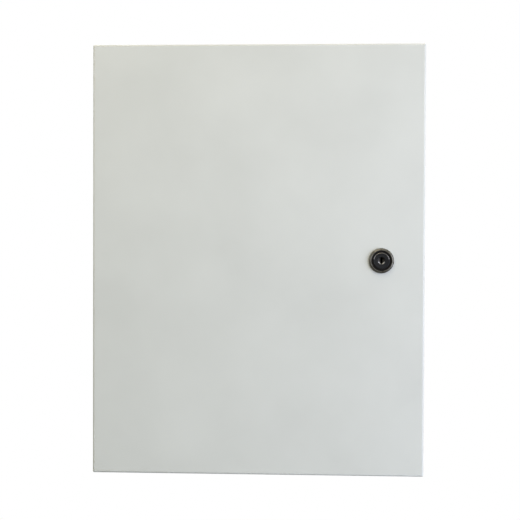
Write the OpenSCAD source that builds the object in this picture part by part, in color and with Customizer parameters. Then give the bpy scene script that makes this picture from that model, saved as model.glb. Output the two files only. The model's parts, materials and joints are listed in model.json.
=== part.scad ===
// Wall-mounted control panel for a fire alarm: a folded steel cabinet with a full-size door and a cam lock,
// and inside it a chassis plate with the boards, the power supply and two standby batteries.
// The origin is the centre of the four wall-fixing holes on the back face: +X right, +Y into the wall, +Z up.

/* [Cabinet] */
// Width of the cabinet and of its door
cab_w = 355; // [352:1:420]
// Height of the cabinet and of its door
cab_h = 460; // [457:1:540]
// Depth from the wall to the front of the door
cab_d = 110; // [107:1:150]
// Thickness of the folded sheet steel
steel = 1.2; // [1:0.1:1.5]
// Outside radius of each fold
bend_r = 2.4; // [2:0.1:3]
// Distance from the cabinet's outside to its sealing lip
lip_inset = 20; // [18:0.5:22]
// Height of the sealing lip in front of the shoulder
lip_h = 10; // [8:0.5:12]
// Inset of the wall-fixing holes from the cabinet's sides
wall_hole_side = 37.5; // [30:0.5:45]
// Inset of the wall-fixing holes from the top and the bottom
wall_hole_end = 34; // [28:0.5:35]
// Diameter of the wall-fixing holes
wall_hole_d = 7; // [5:0.5:8]
// Diameter of the cable knockouts
knockout_d = 22.2; // [16:0.1:28]
// Width of the groove round a knockout
knockout_groove = 1; // [0.6:0.1:1.5]
// Distance between neighbouring knockouts
knockout_pitch = 50; // [40:1:60]
// Knockouts in the row through the top and in the row through the bottom
knockouts_across = 5; // [1:1:5]
// Knockouts in the row through each side
knockouts_down = 3; // [1:1:5]

/* [Door] */
// Depth of the door's folded edges
door_return = 16; // [15:0.5:18]
// Gap between the door's edges and the cabinet's shoulder
door_gap = 2.5; // [2.3:0.1:4]
// Width of the foam seal
seal_w = 9; // [7:0.5:10]
// Gap between the seal and the lip of the closed door
seal_gap = 0.3; // [0.2:0.1:0.6]
// Height of each notch that clears a hinge
hinge_notch = 44; // [42:1:50]

/* [Hinges] */
// Distance between the two hinges
hinge_span = 300; // [200:5:330]
// Distance of the hinge axis from the cabinet's side
hinge_side = 6; // [5.6:0.1:6.4]
// Distance of the hinge axis from the door's face
hinge_depth = 6; // [5.8:0.1:6.4]
// Radius of the hinge pins
hinge_pin_r = 2; // [1.6:0.1:2.4]
// Radial clearance between a hinge pin and its knuckles
pin_clear = 0.05; // [0.02:0.01:0.09]
// Outside radius of the knuckles
knuckle_r = 3.8; // [3.4:0.1:4]
// Height of the door's knuckle, and of each of the cabinet's two
knuckle_h = 12; // [10:0.5:13]
// Thickness of the hinge leaves
leaf_t = 2; // [1.5:0.1:2.4]
// Height of the leaf on the cabinet's shoulder
leaf_h = 37; // [30:0.5:38]

/* [Lock] */
// Distance of the lock's axis from the door's right edge
lock_edge = 46; // [44:0.5:60]
// Distance of the lock's axis below the middle of the door
lock_drop = 0; // [-40:1:40]
// Diameter of the lock's bezel
bezel_d = 26.7; // [24:0.1:30]
// Height of the bezel in front of the door
bezel_h = 3.2; // [3:0.1:4.5]
// Diameter of the dished middle of the bezel
dish_d = 21.5; // [20:0.1:22]
// Diameter of the threaded barrel
barrel_d = 18.8; // [18:0.1:19.5]
// Width across the two flats of the barrel
barrel_flats = 16.2; // [15.8:0.1:17]
// Diameter of the plug's head
plug_head_d = 17.3; // [16.5:0.1:18.5]
// Diameter of the turning plug
plug_d = 14.2; // [12:0.1:14.6]
// Radial clearance between the plug and the barrel
plug_clear = 0.08; // [0.03:0.01:0.1]
// Diameter of the bright key guide in the plug
guide_d = 7.8; // [7.6:0.1:9]
// Height of the key slot
key_slot_h = 7.1; // [5:0.1:7.4]
// Width of the key slot
key_slot_w = 2.3; // [1.5:0.1:2.6]
// Width across the flats of the lock nut
nut_af = 24; // [22:0.5:26]
// Thickness of the lock nut
nut_t = 4; // [3:0.5:5]
// Thickness of the cam
cam_t = 2.5; // [2:0.1:3]
// Width of the cam
cam_w = 13; // [11:0.5:15]
// Overlap of the locked cam behind the cabinet's lip
cam_hold = 10.5; // [6:0.5:12]
// Width of the square tang that carries the cam
tang = 7; // [6:0.1:8]

/* [Chassis] */
// Width of the chassis plate
chassis_w = 300; // [297:1:306]
// Height of the chassis plate
chassis_h = 298; // [290:1:299]
// Thickness of the chassis plate
chassis_t = 1.5; // [1.2:0.1:2]
// Height of the folded side edges of the chassis plate
chassis_fold = 6; // [4:0.5:8]
// Length of the spacers between the back and the chassis plate
spacer_h = 10; // [8:0.5:12]
// Radius of those spacers
spacer_r = 5; // [4:0.1:6]
// Inset of the chassis studs from the plate's sides
chassis_stud_side = 7.5; // [7:0.1:8]
// Inset of the chassis studs from the plate's top and bottom
chassis_stud_end = 14; // [10:0.5:20]
// Radius of the welded studs
stud_r = 2.4; // [2:0.1:2.5]

/* [Main board] */
// Width of the main board
board_w = 270; // [264:1:272]
// Height of the main board
board_h = 156; // [152:1:160]
// Thickness of every circuit board
board_t = 1.6; // [1.2:0.1:2]
// Distance of the main board below the top of the chassis plate
board_drop = 8; // [6:0.5:10]
// Height of the board standoffs
standoff_h = 8; // [6:0.5:10]
// Width across the flats of standoffs and posts
standoff_af = 5.5; // [5:0.1:6]
// Radius of the small machine screws
screw_r = 1.5; // [1.25:0.05:1.6]
// Distance between neighbouring terminal poles
pole_pitch = 5.08; // [5:0.01:5.4]
// Poles in one terminal block
block_poles = 7; // [2:1:7]
// Terminal blocks along the main board
main_blocks = 5; // [1:1:5]
// Space between neighbouring terminal blocks
block_gap = 12; // [4:0.5:14]
// Height of a terminal block in front of its board
block_h = 12.5; // [11:0.5:15]
// Depth of a terminal block along its board
block_d = 10; // [9:0.5:11]

/* [Operator panel] */
// Width of the operator panel
panel_w = 170; // [166:1:176]
// Height of the operator panel
panel_h = 100; // [98:1:104]
// Distance of the operator panel to the left of the middle
panel_left = 40; // [36:1:40]
// Distance of the operator panel below the top of the chassis plate
panel_drop = 14; // [10:1:16]
// Thickness of the panel's fascia
fascia_t = 1.5; // [1.2:0.1:2]
// Length of the posts between the main board and the operator board
post_h = 40; // [36:0.5:40]
// Distance between the operator board and the fascia
fascia_gap = 14; // [13:0.5:15]
// Side of a push button's cap
button_w = 12; // [10:0.5:13]
// Height of a push button in front of the fascia
button_out = 4; // [3:0.1:5]
// Travel of a push button
button_travel = 1; // [0.6:0.1:1.2]
// Gap round a push button in the fascia
button_gap = 0.3; // [0.2:0.05:0.5]
// Width of the display's window
display_w = 72; // [66:1:74]
// Height of the display's window
display_h = 24; // [20:1:26]
// Diameter of a status lamp
lamp_d = 5; // [3:0.5:5.5]
// Number of status lamps
lamps = 8; // [1:1:8]
// Side of a key on the keypad
key_w = 11; // [9:0.5:12]

/* [Zone card] */
// Width of the zone card
card_w = 96; // [92:1:98]
// Height of the zone card
card_h = 95; // [92:1:98]

/* [Power supply] */
// Width of the power supply
supply_w = 129; // [125:1:131]
// Height of the power supply
supply_h = 98; // [96:1:103]
// Depth of the power supply
supply_d = 38; // [36:1:44]
// Diameter of the holes in its cover
vent_d = 4.2; // [3:0.1:5]
// Distance between neighbouring holes in its cover
vent_pitch = 7; // [6.5:0.1:9]
// Width of the mains terminal block
mains_w = 28; // [24:1:30]
// Distance between the poles of the mains terminal block
mains_pitch = 10; // [9:0.5:11]

/* [Batteries] */
// Width of one battery
battery_w = 151; // [140:1:152]
// Depth of one battery
battery_d = 65; // [60:1:68]
// Height of one battery
battery_h = 94; // [90:1:96]
// Gap between the two batteries
battery_gap = 4; // [1:0.5:5]
// Room behind the batteries for the heads of the wall screws
battery_back = 10; // [8:0.5:11]

/* [Hidden] */
$fn = 48;

eps = 0.01;

// Planes across the depth of the cabinet, from the door to the wall
door_y = -cab_d;
door_in_y = door_y + steel;
rim_y = door_y + door_return;
shoulder_y = rim_y + door_gap;
shoulder_in_y = shoulder_y + steel;
lip_y = shoulder_y - lip_h;
back_in_y = -steel;
plate_back_y = back_in_y - spacer_h;
plate_y = plate_back_y - chassis_t;
board_back_y = plate_y - standoff_h;
board_y = board_back_y - board_t;
panel_board_back_y = board_y - post_h;
panel_board_y = panel_board_back_y - board_t;
fascia_back_y = panel_board_y - fascia_gap;
fascia_y = fascia_back_y - fascia_t;

// The cabinet's room and its mouth
half_w = cab_w / 2;
half_h = cab_h / 2;
room_x = half_w - steel;
room_z = half_h - steel;
lip_w = cab_w - 2 * lip_inset;
lip_tall = cab_h - 2 * lip_inset;
lip_r = 2;
wall_hole_x = half_w - wall_hole_side;
wall_hole_z = half_h - wall_hole_end;
knockout_y = shoulder_y / 2;
knockout_cut = steel * 0.45;
knockout_tie = 2.5;

// The hinge: its axis, and sizes counted from the axis
hinge_x = -half_w + hinge_side;
hinge_y = door_y + hinge_depth;
arm_len = shoulder_y - hinge_y;
arm_w = 4;
knuckle_play = 0.5;
leaf_in = hinge_side - 1;
leaf_out = 12;
door_leaf_end = lip_inset + steel / 2 - seal_w / 2 - hinge_side - 0.8;
door_leaf_h = 32;
notch_skin = 1.7;
pin_head_r = 3.2;
pin_head_h = 1.5;

// The lock: its axis, and heights counted outwards from the door's face
lock_x = half_w - lock_edge;
lock_z = -lock_drop;
barrel_r = barrel_d / 2;
plug_r = plug_d / 2;
bezel_r = bezel_d / 2;
dish_r = dish_d / 2;
dish_floor = 1;
part_gap = 0.1;
cam_gap = 0.7;
cam_front = door_y - shoulder_in_y - cam_gap;
barrel_end = cam_front + 0.4;
cam_len = lock_edge - lip_inset + cam_hold;
plug_front = bezel_h - 0.7;
guide_floor = plug_front - 1.5;
key_slot_deep = 12;
cam_screw_r = 2;
cam_screw_head_r = 4.6;
cam_screw_head_h = 2.3;

// The chassis plate and what hangs on it
floor_z = -room_z;
battery_top = floor_z + battery_h;
battery_headroom = 22.8;
plate_z0 = battery_top + battery_headroom;
plate_z1 = plate_z0 + chassis_h;
chassis_stud_x = chassis_w / 2 - chassis_stud_side;
chassis_stud_z = [plate_z0 + chassis_stud_end, plate_z1 - chassis_stud_end];
board_z1 = plate_z1 - board_drop;
board_z0 = board_z1 - board_h;
board_right = board_w / 2;
row_gap = 26;
row_z = board_z0 - row_gap;
fixing_inset = 6;
panel_x = -panel_left;
panel_z = plate_z1 - panel_drop - panel_h / 2;
post_x = panel_w / 2 - 9;
post_z = panel_h / 2 - 8;
card_x0 = board_right - 1 - card_w;
card_z0 = row_z - card_h;
supply_x0 = -board_right + 1;
supply_x1 = supply_x0 + supply_w;
supply_z0 = row_z - supply_h;
mains_x0 = supply_x1 + 7;
mains_poles = 4;
mains_z0 = row_z - supply_h + 2;

// Fixings on the boards, as [x, z]
board_fixings = [for (x = [-1, 1], z = [board_z0 + fixing_inset, board_z1 - fixing_inset])
    [x * (board_right - fixing_inset), z]];
post_fixings = [for (x = [-1, 1], z = [-1, 1]) [panel_x + x * post_x, panel_z + z * post_z]];
card_fixings = [for (x = [card_x0 + 5, card_x0 + card_w - 5], z = [card_z0 + 18, row_z - 5]) [x, z]];

// Terminal blocks: the left end of each block on its board
main_block_step = block_poles * pole_pitch + block_gap;
main_block_x = [for (i = [0 : main_blocks - 1]) (i - (main_blocks - 1) / 2) * main_block_step
    - block_poles * pole_pitch / 2];
card_block_x = [for (i = [0, 1]) card_x0 + card_w / 2 + (i == 0 ? -1 : 1) * (block_poles * pole_pitch / 2 + 3)
    - block_poles * pole_pitch / 2];

// Places on the operator panel, counted from its middle
display_at = [-32, 26];
lamp_row = [-72, 2];
lamp_pitch = 11;
button_row = [-66, -26];
button_pitch = 22;
keypad_at = [52, -2];
keypad_size = [48, 64];
key_pitch = [14, 15];
keypad_t = 0.8;
key_t = 0.7;
button_flange = button_w + 3;
switch_top = panel_board_y - 5;

// Batteries
battery_y1 = back_in_y - battery_back;
battery_y0 = battery_y1 - battery_d;
battery_x = [-battery_w - battery_gap / 2, battery_gap / 2];
tab_x = 8;
tab_y = [battery_y1 - 13, battery_y0 + 13];
tab_h = 6.4;
stop_gap = 0.5;
stop_h = 32;

// Earth points: the stud on the left wall and the stud on the door
box_earth = [-room_x, -58, -40];
door_earth = [17.5 - lip_w / 2, door_in_y, -20];
earth_stud_len = 12;
lug_h = 3;

// Leads: their diameter; a route is a run of steps counted from the places that its two ends are fixed to
lead_d = 2.6;
function from(place, steps) = [for (s = steps) place + s];
function mouth(block, pole) = [main_block_x[block] + (pole + 0.5) * pole_pitch, board_y - 4, board_z0 + 2];
function sleeve_top(battery, tab) =
    [battery_x[battery] + tab_x, tab_y[tab] + 0.2, battery_top + battery_headroom];

// ---- shapes that repeat -------------------------------------------------------------------------------

// A box between two ends on each axis
module span(x, y, z) translate([x[0], y[0], z[0]]) cube([x[1] - x[0], y[1] - y[0], z[1] - z[0]]);

// A round rod along Y
module rod_y(r, y, x = 0, z = 0) translate([x, y[1], z]) rotate([90, 0, 0]) cylinder(r = r, h = y[1] - y[0]);

// A hexagonal rod along Y
module hex_y(af, y, x = 0, z = 0)
    translate([x, y[1], z]) rotate([90, 0, 0]) cylinder(d = af / cos(30), h = y[1] - y[0], $fn = 6);

// An outline drawn across X and Z, given a thickness along Y
module slab_y(y) translate([0, y[1], 0]) rotate([90, 0, 0]) linear_extrude(y[1] - y[0]) children();

module rounded_rect(w, h, r) {
    square([w - 2 * r, h], center = true);
    square([w, h - 2 * r], center = true);
    for (x = [-1, 1], y = [-1, 1]) translate([x * (w / 2 - r), y * (h / 2 - r)]) circle(r);
}

// A section d deep whose front and back corners are folds
module folded_section(w, d, front_r, back_r) {
    translate([-w / 2, front_r - d]) square([w, d - front_r - back_r]);
    translate([front_r - w / 2, -d]) square([w - 2 * front_r, front_r + eps]);
    for (x = [-1, 1]) translate([x * (w / 2 - front_r), front_r - d]) circle(front_r);
    if (back_r > 0) {
        translate([back_r - w / 2, -back_r - eps]) square([w - 2 * back_r, back_r + eps]);
        for (x = [-1, 1]) translate([x * (w / 2 - back_r), -back_r]) circle(back_r);
    }
}

// A block with folded edges all round its front, and round its back if back_r is given
module folded_block(w, h, y, front_r, back_r = 0) translate([0, y[1], 0]) intersection() {
    rotate([90, 0, 0]) linear_extrude(y[1] - y[0]) rounded_rect(w, h, front_r);
    translate([0, 0, -h / 2]) linear_extrude(h) folded_section(w, y[1] - y[0], front_r, back_r);
    rotate([0, 90, 0]) translate([0, 0, -w / 2]) linear_extrude(w)
        folded_section(h, y[1] - y[0], front_r, back_r);
}

function unit(v) = v / norm(v);

// Points of a smooth curve through the points p, with n steps from each to the next
function curve_point(a, b, c, d, t) = 0.5 * (2 * b + (c - a) * t + (2 * a - 5 * b + 4 * c - d) * t * t
    + (3 * b - a - 3 * c + d) * t * t * t);
function curve(p, n) = let (last = len(p) - 1) concat([for (i = [0 : last - 1], k = [0 : n - 1])
    curve_point(p[max(i - 1, 0)], p[i], p[i + 1], p[min(i + 2, last)], k / n)], [p[last]]);

// The side directions of a tube's rings, each carried over from the ring before
function side_dirs(t, s, i = 0) = i == len(t) ? [] : let (d = unit(s - (s * t[i]) * t[i]))
    concat([d], side_dirs(t, d, i + 1));

// A round lead along a route
module lead(route, d = lead_d, sides = 8, steps = 2) {
    p = curve(route, steps);
    n = len(p);
    t = [for (i = [0 : n - 1]) unit(p[min(i + 1, n - 1)] - p[max(i - 1, 0)])];
    s = side_dirs(t, [0.31, 0.57, 0.76]);
    rings = [for (i = [0 : n - 1], k = [0 : sides - 1])
        p[i] + d / 2 * (cos(360 * k / sides) * s[i] + sin(360 * k / sides) * cross(t[i], s[i]))];
    walls = [for (i = [0 : n - 2], k = [0 : sides - 1], half = [0, 1]) let (m = (k + 1) % sides)
        half == 0 ? [i * sides + k, i * sides + m, (i + 1) * sides + m]
                  : [i * sides + k, (i + 1) * sides + m, (i + 1) * sides + k]];
    caps = [for (k = [1 : sides - 2], end = [0, 1])
        end == 0 ? [0, k + 1, k] : [(n - 1) * sides, (n - 1) * sides + k, (n - 1) * sides + k + 1]];
    polyhedron(points = rings, faces = [for (f = concat(walls, caps)) [f[2], f[1], f[0]]], convexity = 6);
}

// ---- cabinet ------------------------------------------------------------------------------------------

// The groove round one knockout, broken by two ties
module knockout_ring() difference() {
    circle(d = knockout_d);
    circle(d = knockout_d - 2 * knockout_groove);
    square([knockout_d + 2, knockout_tie], center = true);
}

module knockout_row(count) for (i = [0 : count - 1])
    translate([(i - (count - 1) / 2) * knockout_pitch, knockout_y]) knockout_ring();

// Welded body: folded all round, with a shoulder and a sealing lip at its mouth
module back_box() color("gainsboro") difference() {
    union() {
        folded_block(cab_w, cab_h, [shoulder_y, 0], bend_r, bend_r);
        slab_y([lip_y, shoulder_y + steel / 2]) rounded_rect(lip_w, lip_tall, lip_r);
    }
    span([-room_x, room_x], [shoulder_in_y, back_in_y], [-room_z, room_z]);
    slab_y([lip_y - 1, shoulder_in_y + 1])
        rounded_rect(lip_w - 2 * steel, lip_tall - 2 * steel, lip_r - steel / 2);
    for (x = [-1, 1], z = [-1, 1]) rod_y(wall_hole_d / 2, [-steel - 1, 1], x * wall_hole_x, z * wall_hole_z);
    for (z = [-half_h - 1, half_h - knockout_cut])
        translate([0, 0, z]) linear_extrude(knockout_cut + 1) knockout_row(knockouts_across);
    for (x = [-half_w - 1, half_w - knockout_cut])
        translate([x, 0, 0]) rotate([0, 90, 0]) linear_extrude(knockout_cut + 1) knockout_row(knockouts_down);
}

module at_hinges() for (z = [-1, 1]) translate([hinge_x, hinge_y, z * hinge_span / 2]) children();

// Leaf on the shoulder, with two arms that reach forward to their knuckles
module hinge_brackets() color("silver") at_hinges() difference() {
    knuckles = [[-knuckle_h * 1.5 - knuckle_play, -knuckle_h / 2 - knuckle_play],
        [knuckle_h / 2 + knuckle_play, knuckle_h * 1.5 + knuckle_play]];
    union() {
        span([-leaf_in, leaf_out], [arm_len - leaf_t, arm_len], [-leaf_h / 2, leaf_h / 2]);
        for (z = knuckles) {
            span([-arm_w / 2, arm_w / 2], [0, arm_len - leaf_t / 2], z);
            translate([0, 0, z[0]]) cylinder(r = knuckle_r, h = z[1] - z[0]);
        }
    }
    translate([0, 0, -knuckle_h * 2]) cylinder(r = hinge_pin_r + pin_clear, h = knuckle_h * 4);
}

module hinge_pins() color("dimgray") at_hinges() {
    pin_half = knuckle_h * 1.5 + knuckle_play;
    translate([0, 0, -pin_half - 1]) cylinder(r = hinge_pin_r, h = 2 * pin_half + 1 + part_gap + pin_head_h);
    translate([0, 0, pin_half + part_gap]) cylinder(r = pin_head_r, h = pin_head_h);
}

// A collared stud, the lead's ring lug and the nut, drawn along +Z from the sheet that carries the stud
module earth_point() {
    cylinder(r = stud_r, h = earth_stud_len);
    cylinder(r = 4.2, h = lug_h - 0.05);
    difference() {
        union() {
            translate([0, 0, lug_h]) linear_extrude(1) union() {
                circle(r = 5);
                translate([-2, -9]) square([4, 8]);
            }
            translate([0, -8, lug_h + 0.5]) rotate([90, 0, 0]) cylinder(r = 2.2, h = 7);
        }
        translate([0, 0, lug_h - 1]) cylinder(r = stud_r + 0.1, h = 3);
        translate([0, -9, lug_h + 0.5]) rotate([90, 0, 0]) cylinder(d = lead_d + 0.4, h = 8);
    }
    translate([0, 0, lug_h + 1.05]) difference() {
        cylinder(d = 8 / cos(30), h = 4, $fn = 6);
        translate([0, 0, -1]) cylinder(r = stud_r + 0.05, h = 6);
    }
}

module box_earth_point() color("darkkhaki") translate(box_earth) rotate([0, 90, 0]) rotate(90) earth_point();

// Hangs in a loop between the two studs, long enough for the open door
earth_lead_route = concat(
    from(box_earth, [[3.5, 0, -10], [3.5, 0, -17], [6.3, -2, -27], [14.3, -7, -34], [22.3, -15, -36]]),
    from(door_earth, [[-9, 25.8, -51], [-4, 15.8, -41], [-1, 7.8, -29], [0, 3.5, -18], [0, 3.5, -11]]));

module door_earth_lead() color("yellowgreen") lead(earth_lead_route);

// ---- chassis ------------------------------------------------------------------------------------------

module at_chassis_studs() for (x = [-1, 1], z = chassis_stud_z)
    translate([x * chassis_stud_x, 0, z]) children();

module chassis_studs() color("silver") at_chassis_studs() {
    rod_y(spacer_r, [plate_back_y, back_in_y]);
    rod_y(stud_r, [plate_y - 8, plate_back_y + 1]);
}

module chassis_plate() color("lightgray") difference() {
    union() {
        span([-chassis_w / 2, chassis_w / 2], [plate_y, plate_back_y], [plate_z0, plate_z1]);
        for (x = [-chassis_w / 2, chassis_w / 2 - chassis_t])
            span([x, x + chassis_t], [plate_y - chassis_fold, plate_back_y], [plate_z0, plate_z1]);
    }
    at_chassis_studs() rod_y(stud_r + 0.3, [plate_y - 1, plate_back_y + 1]);
}

module chassis_nuts() color("silver") at_chassis_studs() difference() {
    hex_y(8, [plate_y - 4, plate_y]);
    rod_y(stud_r + 0.05, [plate_y - 5, plate_y + 1]);
}

// ---- main board ---------------------------------------------------------------------------------------

// Standoffs under the main board and the zone card
module board_standoffs() color("goldenrod") for (f = concat(board_fixings, post_fixings, card_fixings))
    difference() {
        hex_y(standoff_af, [board_back_y, plate_y], f[0], f[1]);
        rod_y(screw_r + 0.05, [board_back_y - 1, plate_y - 1], f[0], f[1]);
    }

module main_board() color("darkgreen") difference() {
    span([-board_right, board_right], [board_y, board_back_y], [board_z0, board_z1]);
    for (f = concat(board_fixings, post_fixings))
        rod_y(screw_r + 0.1, [board_y - 1, board_back_y + 1], f[0], f[1]);
}

// A pan-head screw whose head sits on the plane y
module machine_screw(f, y) difference() {
    union() {
        rod_y(screw_r, [y - 1, y + 6], f[0], f[1]);
        rod_y(screw_r * 1.9, [y - 2, y], f[0], f[1]);
    }
    translate([f[0], y - 1.6, f[1]]) cube([screw_r * 4, 1, 0.6], center = true);
}

module machine_screws() color("silver") {
    for (f = concat(board_fixings, card_fixings)) machine_screw(f, board_y);
    for (f = post_fixings) machine_screw(f, fascia_y);
}

// One terminal block from its back lower left corner: sloped front edges, wire mouths below, screw wells in front
block_slope = 1.6;
module terminal_block() difference() {
    rotate([90, 0, 90]) linear_extrude(block_poles * pole_pitch)
        polygon([[0, 0], [block_slope - block_h, 0], [-block_h, block_slope], [-block_h, block_d - block_slope],
            [block_slope - block_h, block_d], [0, block_d]]);
    for (i = [0 : block_poles - 1]) translate([(i + 0.5) * pole_pitch, 0, 0]) {
        span([-1.8, 1.8], [-6, -2], [-1, block_d - 2]);
        rod_y(1.9, [-block_h - 1, -5], 0, block_d / 2);
    }
}

module at_terminal_blocks() {
    for (x = main_block_x) translate([x, board_y, board_z0 + 1]) children();
    for (x = card_block_x) translate([x, board_y, card_z0 + 1]) children();
}

module terminal_blocks() color("forestgreen") at_terminal_blocks() terminal_block();

module terminal_screws() color("silver") at_terminal_blocks()
    for (i = [0 : block_poles - 1]) translate([(i + 0.5) * pole_pitch, 0, block_d / 2]) difference() {
        rod_y(1.85, [1.5 - block_h, -6]);
        translate([0, 1.5 - block_h, 0]) cube([5, 1, 0.6], center = true);
    }

// Sealed relays: a column on the main board and a row on the zone card
relay_w = 19;
relay_h = 15;
relay_out = 15.5;
relay_column_pitch = 20;
relay_row_pitch = 23;
relay_places = concat([for (i = [0 : 3]) [board_right - 24, board_z0 + 40 + relay_column_pitch * i]],
    [for (i = [0 : 3]) [card_x0 + 13 + relay_row_pitch * i, row_z - 26]]);

// Sealed case with a shallow panel and a vent pip in its top
module relays() color("royalblue") for (p = relay_places) translate([p[0], board_y, p[1]]) {
    difference() {
        slab_y([-relay_out, 0]) rounded_rect(relay_w, relay_h, 0.8);
        slab_y([-relay_out - 1, 0.3 - relay_out]) rounded_rect(relay_w - 2.6, relay_h - 2.6, 0.6);
    }
    rod_y(1.1, [-relay_out - 0.2, 0.5 - relay_out], relay_w / 2 - 3.6, relay_h / 2 - 3.6);
}

// Electrolytic capacitors: a pair of storage ones and a pair of smaller ones
storage_r = 8;
storage_out = 26;
smoothing_r = 6.3;
smoothing_out = 20;
capacitor_gap = 4;
capacitor_z = board_z0 + 44;
storage_x = board_right - 76;
smoothing_x = board_right - 57;

// A can of radius r with its crimp, from its seat to its bare top with a scored cross
module electrolytic(r, out) rotate([90, 0, 0]) difference() {
    rotate_extrude() polygon([[0, 0], [r - 0.4, 0], [r, 0.6], [r, 2.4], [r - 0.5, 3], [r, 3.6], [r, out - 0.8],
        [r - 0.8, out], [r - 1.3, out], [r - 1.5, out - 0.25], [0, out - 0.25]]);
    for (turn = [0, 60, 120]) rotate(turn) translate([0, 0, out]) cube([r * 1.24, 0.3, 1], center = true);
}

module capacitors() color("midnightblue") for (i = [0, 1]) {
    translate([storage_x, board_y, capacitor_z + i * (2 * storage_r + capacitor_gap)])
        electrolytic(storage_r, storage_out);
    translate([smoothing_x, board_y, capacitor_z + i * (2 * smoothing_r + capacitor_gap)])
        electrolytic(smoothing_r, smoothing_out);
}

// Finned heat sink of the charging regulator
sink_w = 42;
sink_out = 20;
sink_h = 26;
sink_base = 4;
fin_t = 1.6;
sink_fins = 8;

module heat_sink() color("darkgray") translate([board_right - 66 - sink_w / 2, board_y, board_z1 - 6 - sink_h])
    linear_extrude(sink_h) union() {
        translate([0, -sink_base]) square([sink_w, sink_base]);
        for (i = [0 : sink_fins - 1])
            translate([i * (sink_w - fin_t) / (sink_fins - 1), -sink_out]) square([fin_t, sink_out - 1]);
    }

// Integrated circuits: [x, z, width, height, thickness]
chip_places = [[-board_right + 34, board_z0 + 32, 24, 24, 3.4], [-board_right + 66, board_z0 + 30, 10, 26, 3.2],
    [-board_right + 86, board_z0 + 30, 10, 18, 3.2], [-board_right + 106, board_z0 + 30, 10, 18, 3.2],
    [-board_right + 132, board_z0 + 32, 18, 18, 2.6], [card_x0 + card_w / 2, card_z0 + 38, 30, 10, 3.2],
    [-board_right + 10, board_z0 + 40, 8, 14, 2.2]];

module chips() color("black") for (c = chip_places)
    span([c[0] - c[2] / 2, c[0] + c[2] / 2], [board_y - c[4], board_y], [c[1] - c[3] / 2, c[1] + c[3] / 2]);

// Glass fuses held in pairs of clips
fuse_r = 2.6;
fuse_len = 20;
fuse_lift = 4.4;
fuse_places = [for (i = [0 : 3]) [board_right - 66, board_z0 + 78 + 10 * i]];

module fuse_clips() color("gold") for (p = fuse_places, s = [-1, 1])
    translate([p[0] + s * (fuse_len / 2 - 3), board_y, p[1]]) difference() {
        span([-2.5, 2.5], [-fuse_lift - 2, 0], [-fuse_r - 0.7, fuse_r + 0.7]);
        translate([-4, -fuse_lift, 0]) rotate([0, 90, 0]) cylinder(r = fuse_r + 0.02, h = 8);
        span([-4, 4], [-fuse_lift - 4, -fuse_lift], [-1.9, 1.9]);
    }

module glass_fuses() color("lightcyan") for (p = fuse_places)
    translate([p[0] - fuse_len / 2, board_y - fuse_lift, p[1]]) rotate([0, 90, 0]) union() {
        cylinder(r = fuse_r - 0.25, h = fuse_len);
        for (h = [0, fuse_len - 5]) translate([0, 0, h]) cylinder(r = fuse_r, h = 5);
    }

// Round sounder with a hole in its face
sounder_r = 11;
sounder_out = 8.5;
module sounder() color("black") translate([board_right - 22, board_y, board_z1 - 22]) rotate([90, 0, 0])
    rotate_extrude() polygon([[0, 0], [sounder_r - 0.3, 0], [sounder_r, 0.3], [sounder_r, sounder_out - 1.4],
        [sounder_r - 0.4, sounder_out - 1], [sounder_r - 1.4, sounder_out - 1], [sounder_r - 1.8, sounder_out],
        [2.6, sounder_out], [2.3, sounder_out - 0.5], [1.4, sounder_out - 0.5], [1.4, 3.5], [0, 3.5]]);

// ---- operator panel -----------------------------------------------------------------------------------

// Posts to the operator board, and shorter ones from it to the fascia
module panel_posts() color("goldenrod") for (f = post_fixings) {
    hex_y(standoff_af, [panel_board_back_y, board_y], f[0], f[1]);
    rod_y(screw_r, [board_y - 1, board_y + 6], f[0], f[1]);
    difference() {
        hex_y(standoff_af, [fascia_back_y, panel_board_y], f[0], f[1]);
        rod_y(screw_r + 0.05, [fascia_back_y - 1, panel_board_y - 5], f[0], f[1]);
    }
}

module on_panel() translate([panel_x, 0, panel_z]) children();
module at_button(i) on_panel() translate([button_row[0] + i * button_pitch, 0, button_row[1]]) children();
module at_lamps() on_panel() for (i = [0 : lamps - 1])
    translate([lamp_row[0] + i * lamp_pitch, 0, lamp_row[1]]) children();

module operator_board() color("darkgreen") difference() {
    on_panel() span([4 - panel_w / 2, panel_w / 2 - 4], [panel_board_y, panel_board_back_y],
        [3 - panel_h / 2, panel_h / 2 - 3]);
    for (f = post_fixings) rod_y(screw_r + 0.1, [panel_board_y - 1, panel_board_back_y + 1], f[0], f[1]);
}

module operator_fascia() color("slategray") difference() {
    on_panel() slab_y([fascia_y, fascia_back_y]) difference() {
        rounded_rect(panel_w, panel_h, 3);
        translate(display_at) square([display_w, display_h], center = true);
        for (i = [0 : 3]) translate(button_row + [i * button_pitch, 0])
            rounded_rect(button_w + 2 * button_gap, button_w + 2 * button_gap, 1.8);
        for (i = [0 : lamps - 1]) translate(lamp_row + [i * lamp_pitch, 0]) circle(d = lamp_d + 0.4);
    }
    for (f = post_fixings) rod_y(screw_r + 0.2, [fascia_y - 1, fascia_back_y + 1], f[0], f[1]);
}

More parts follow.
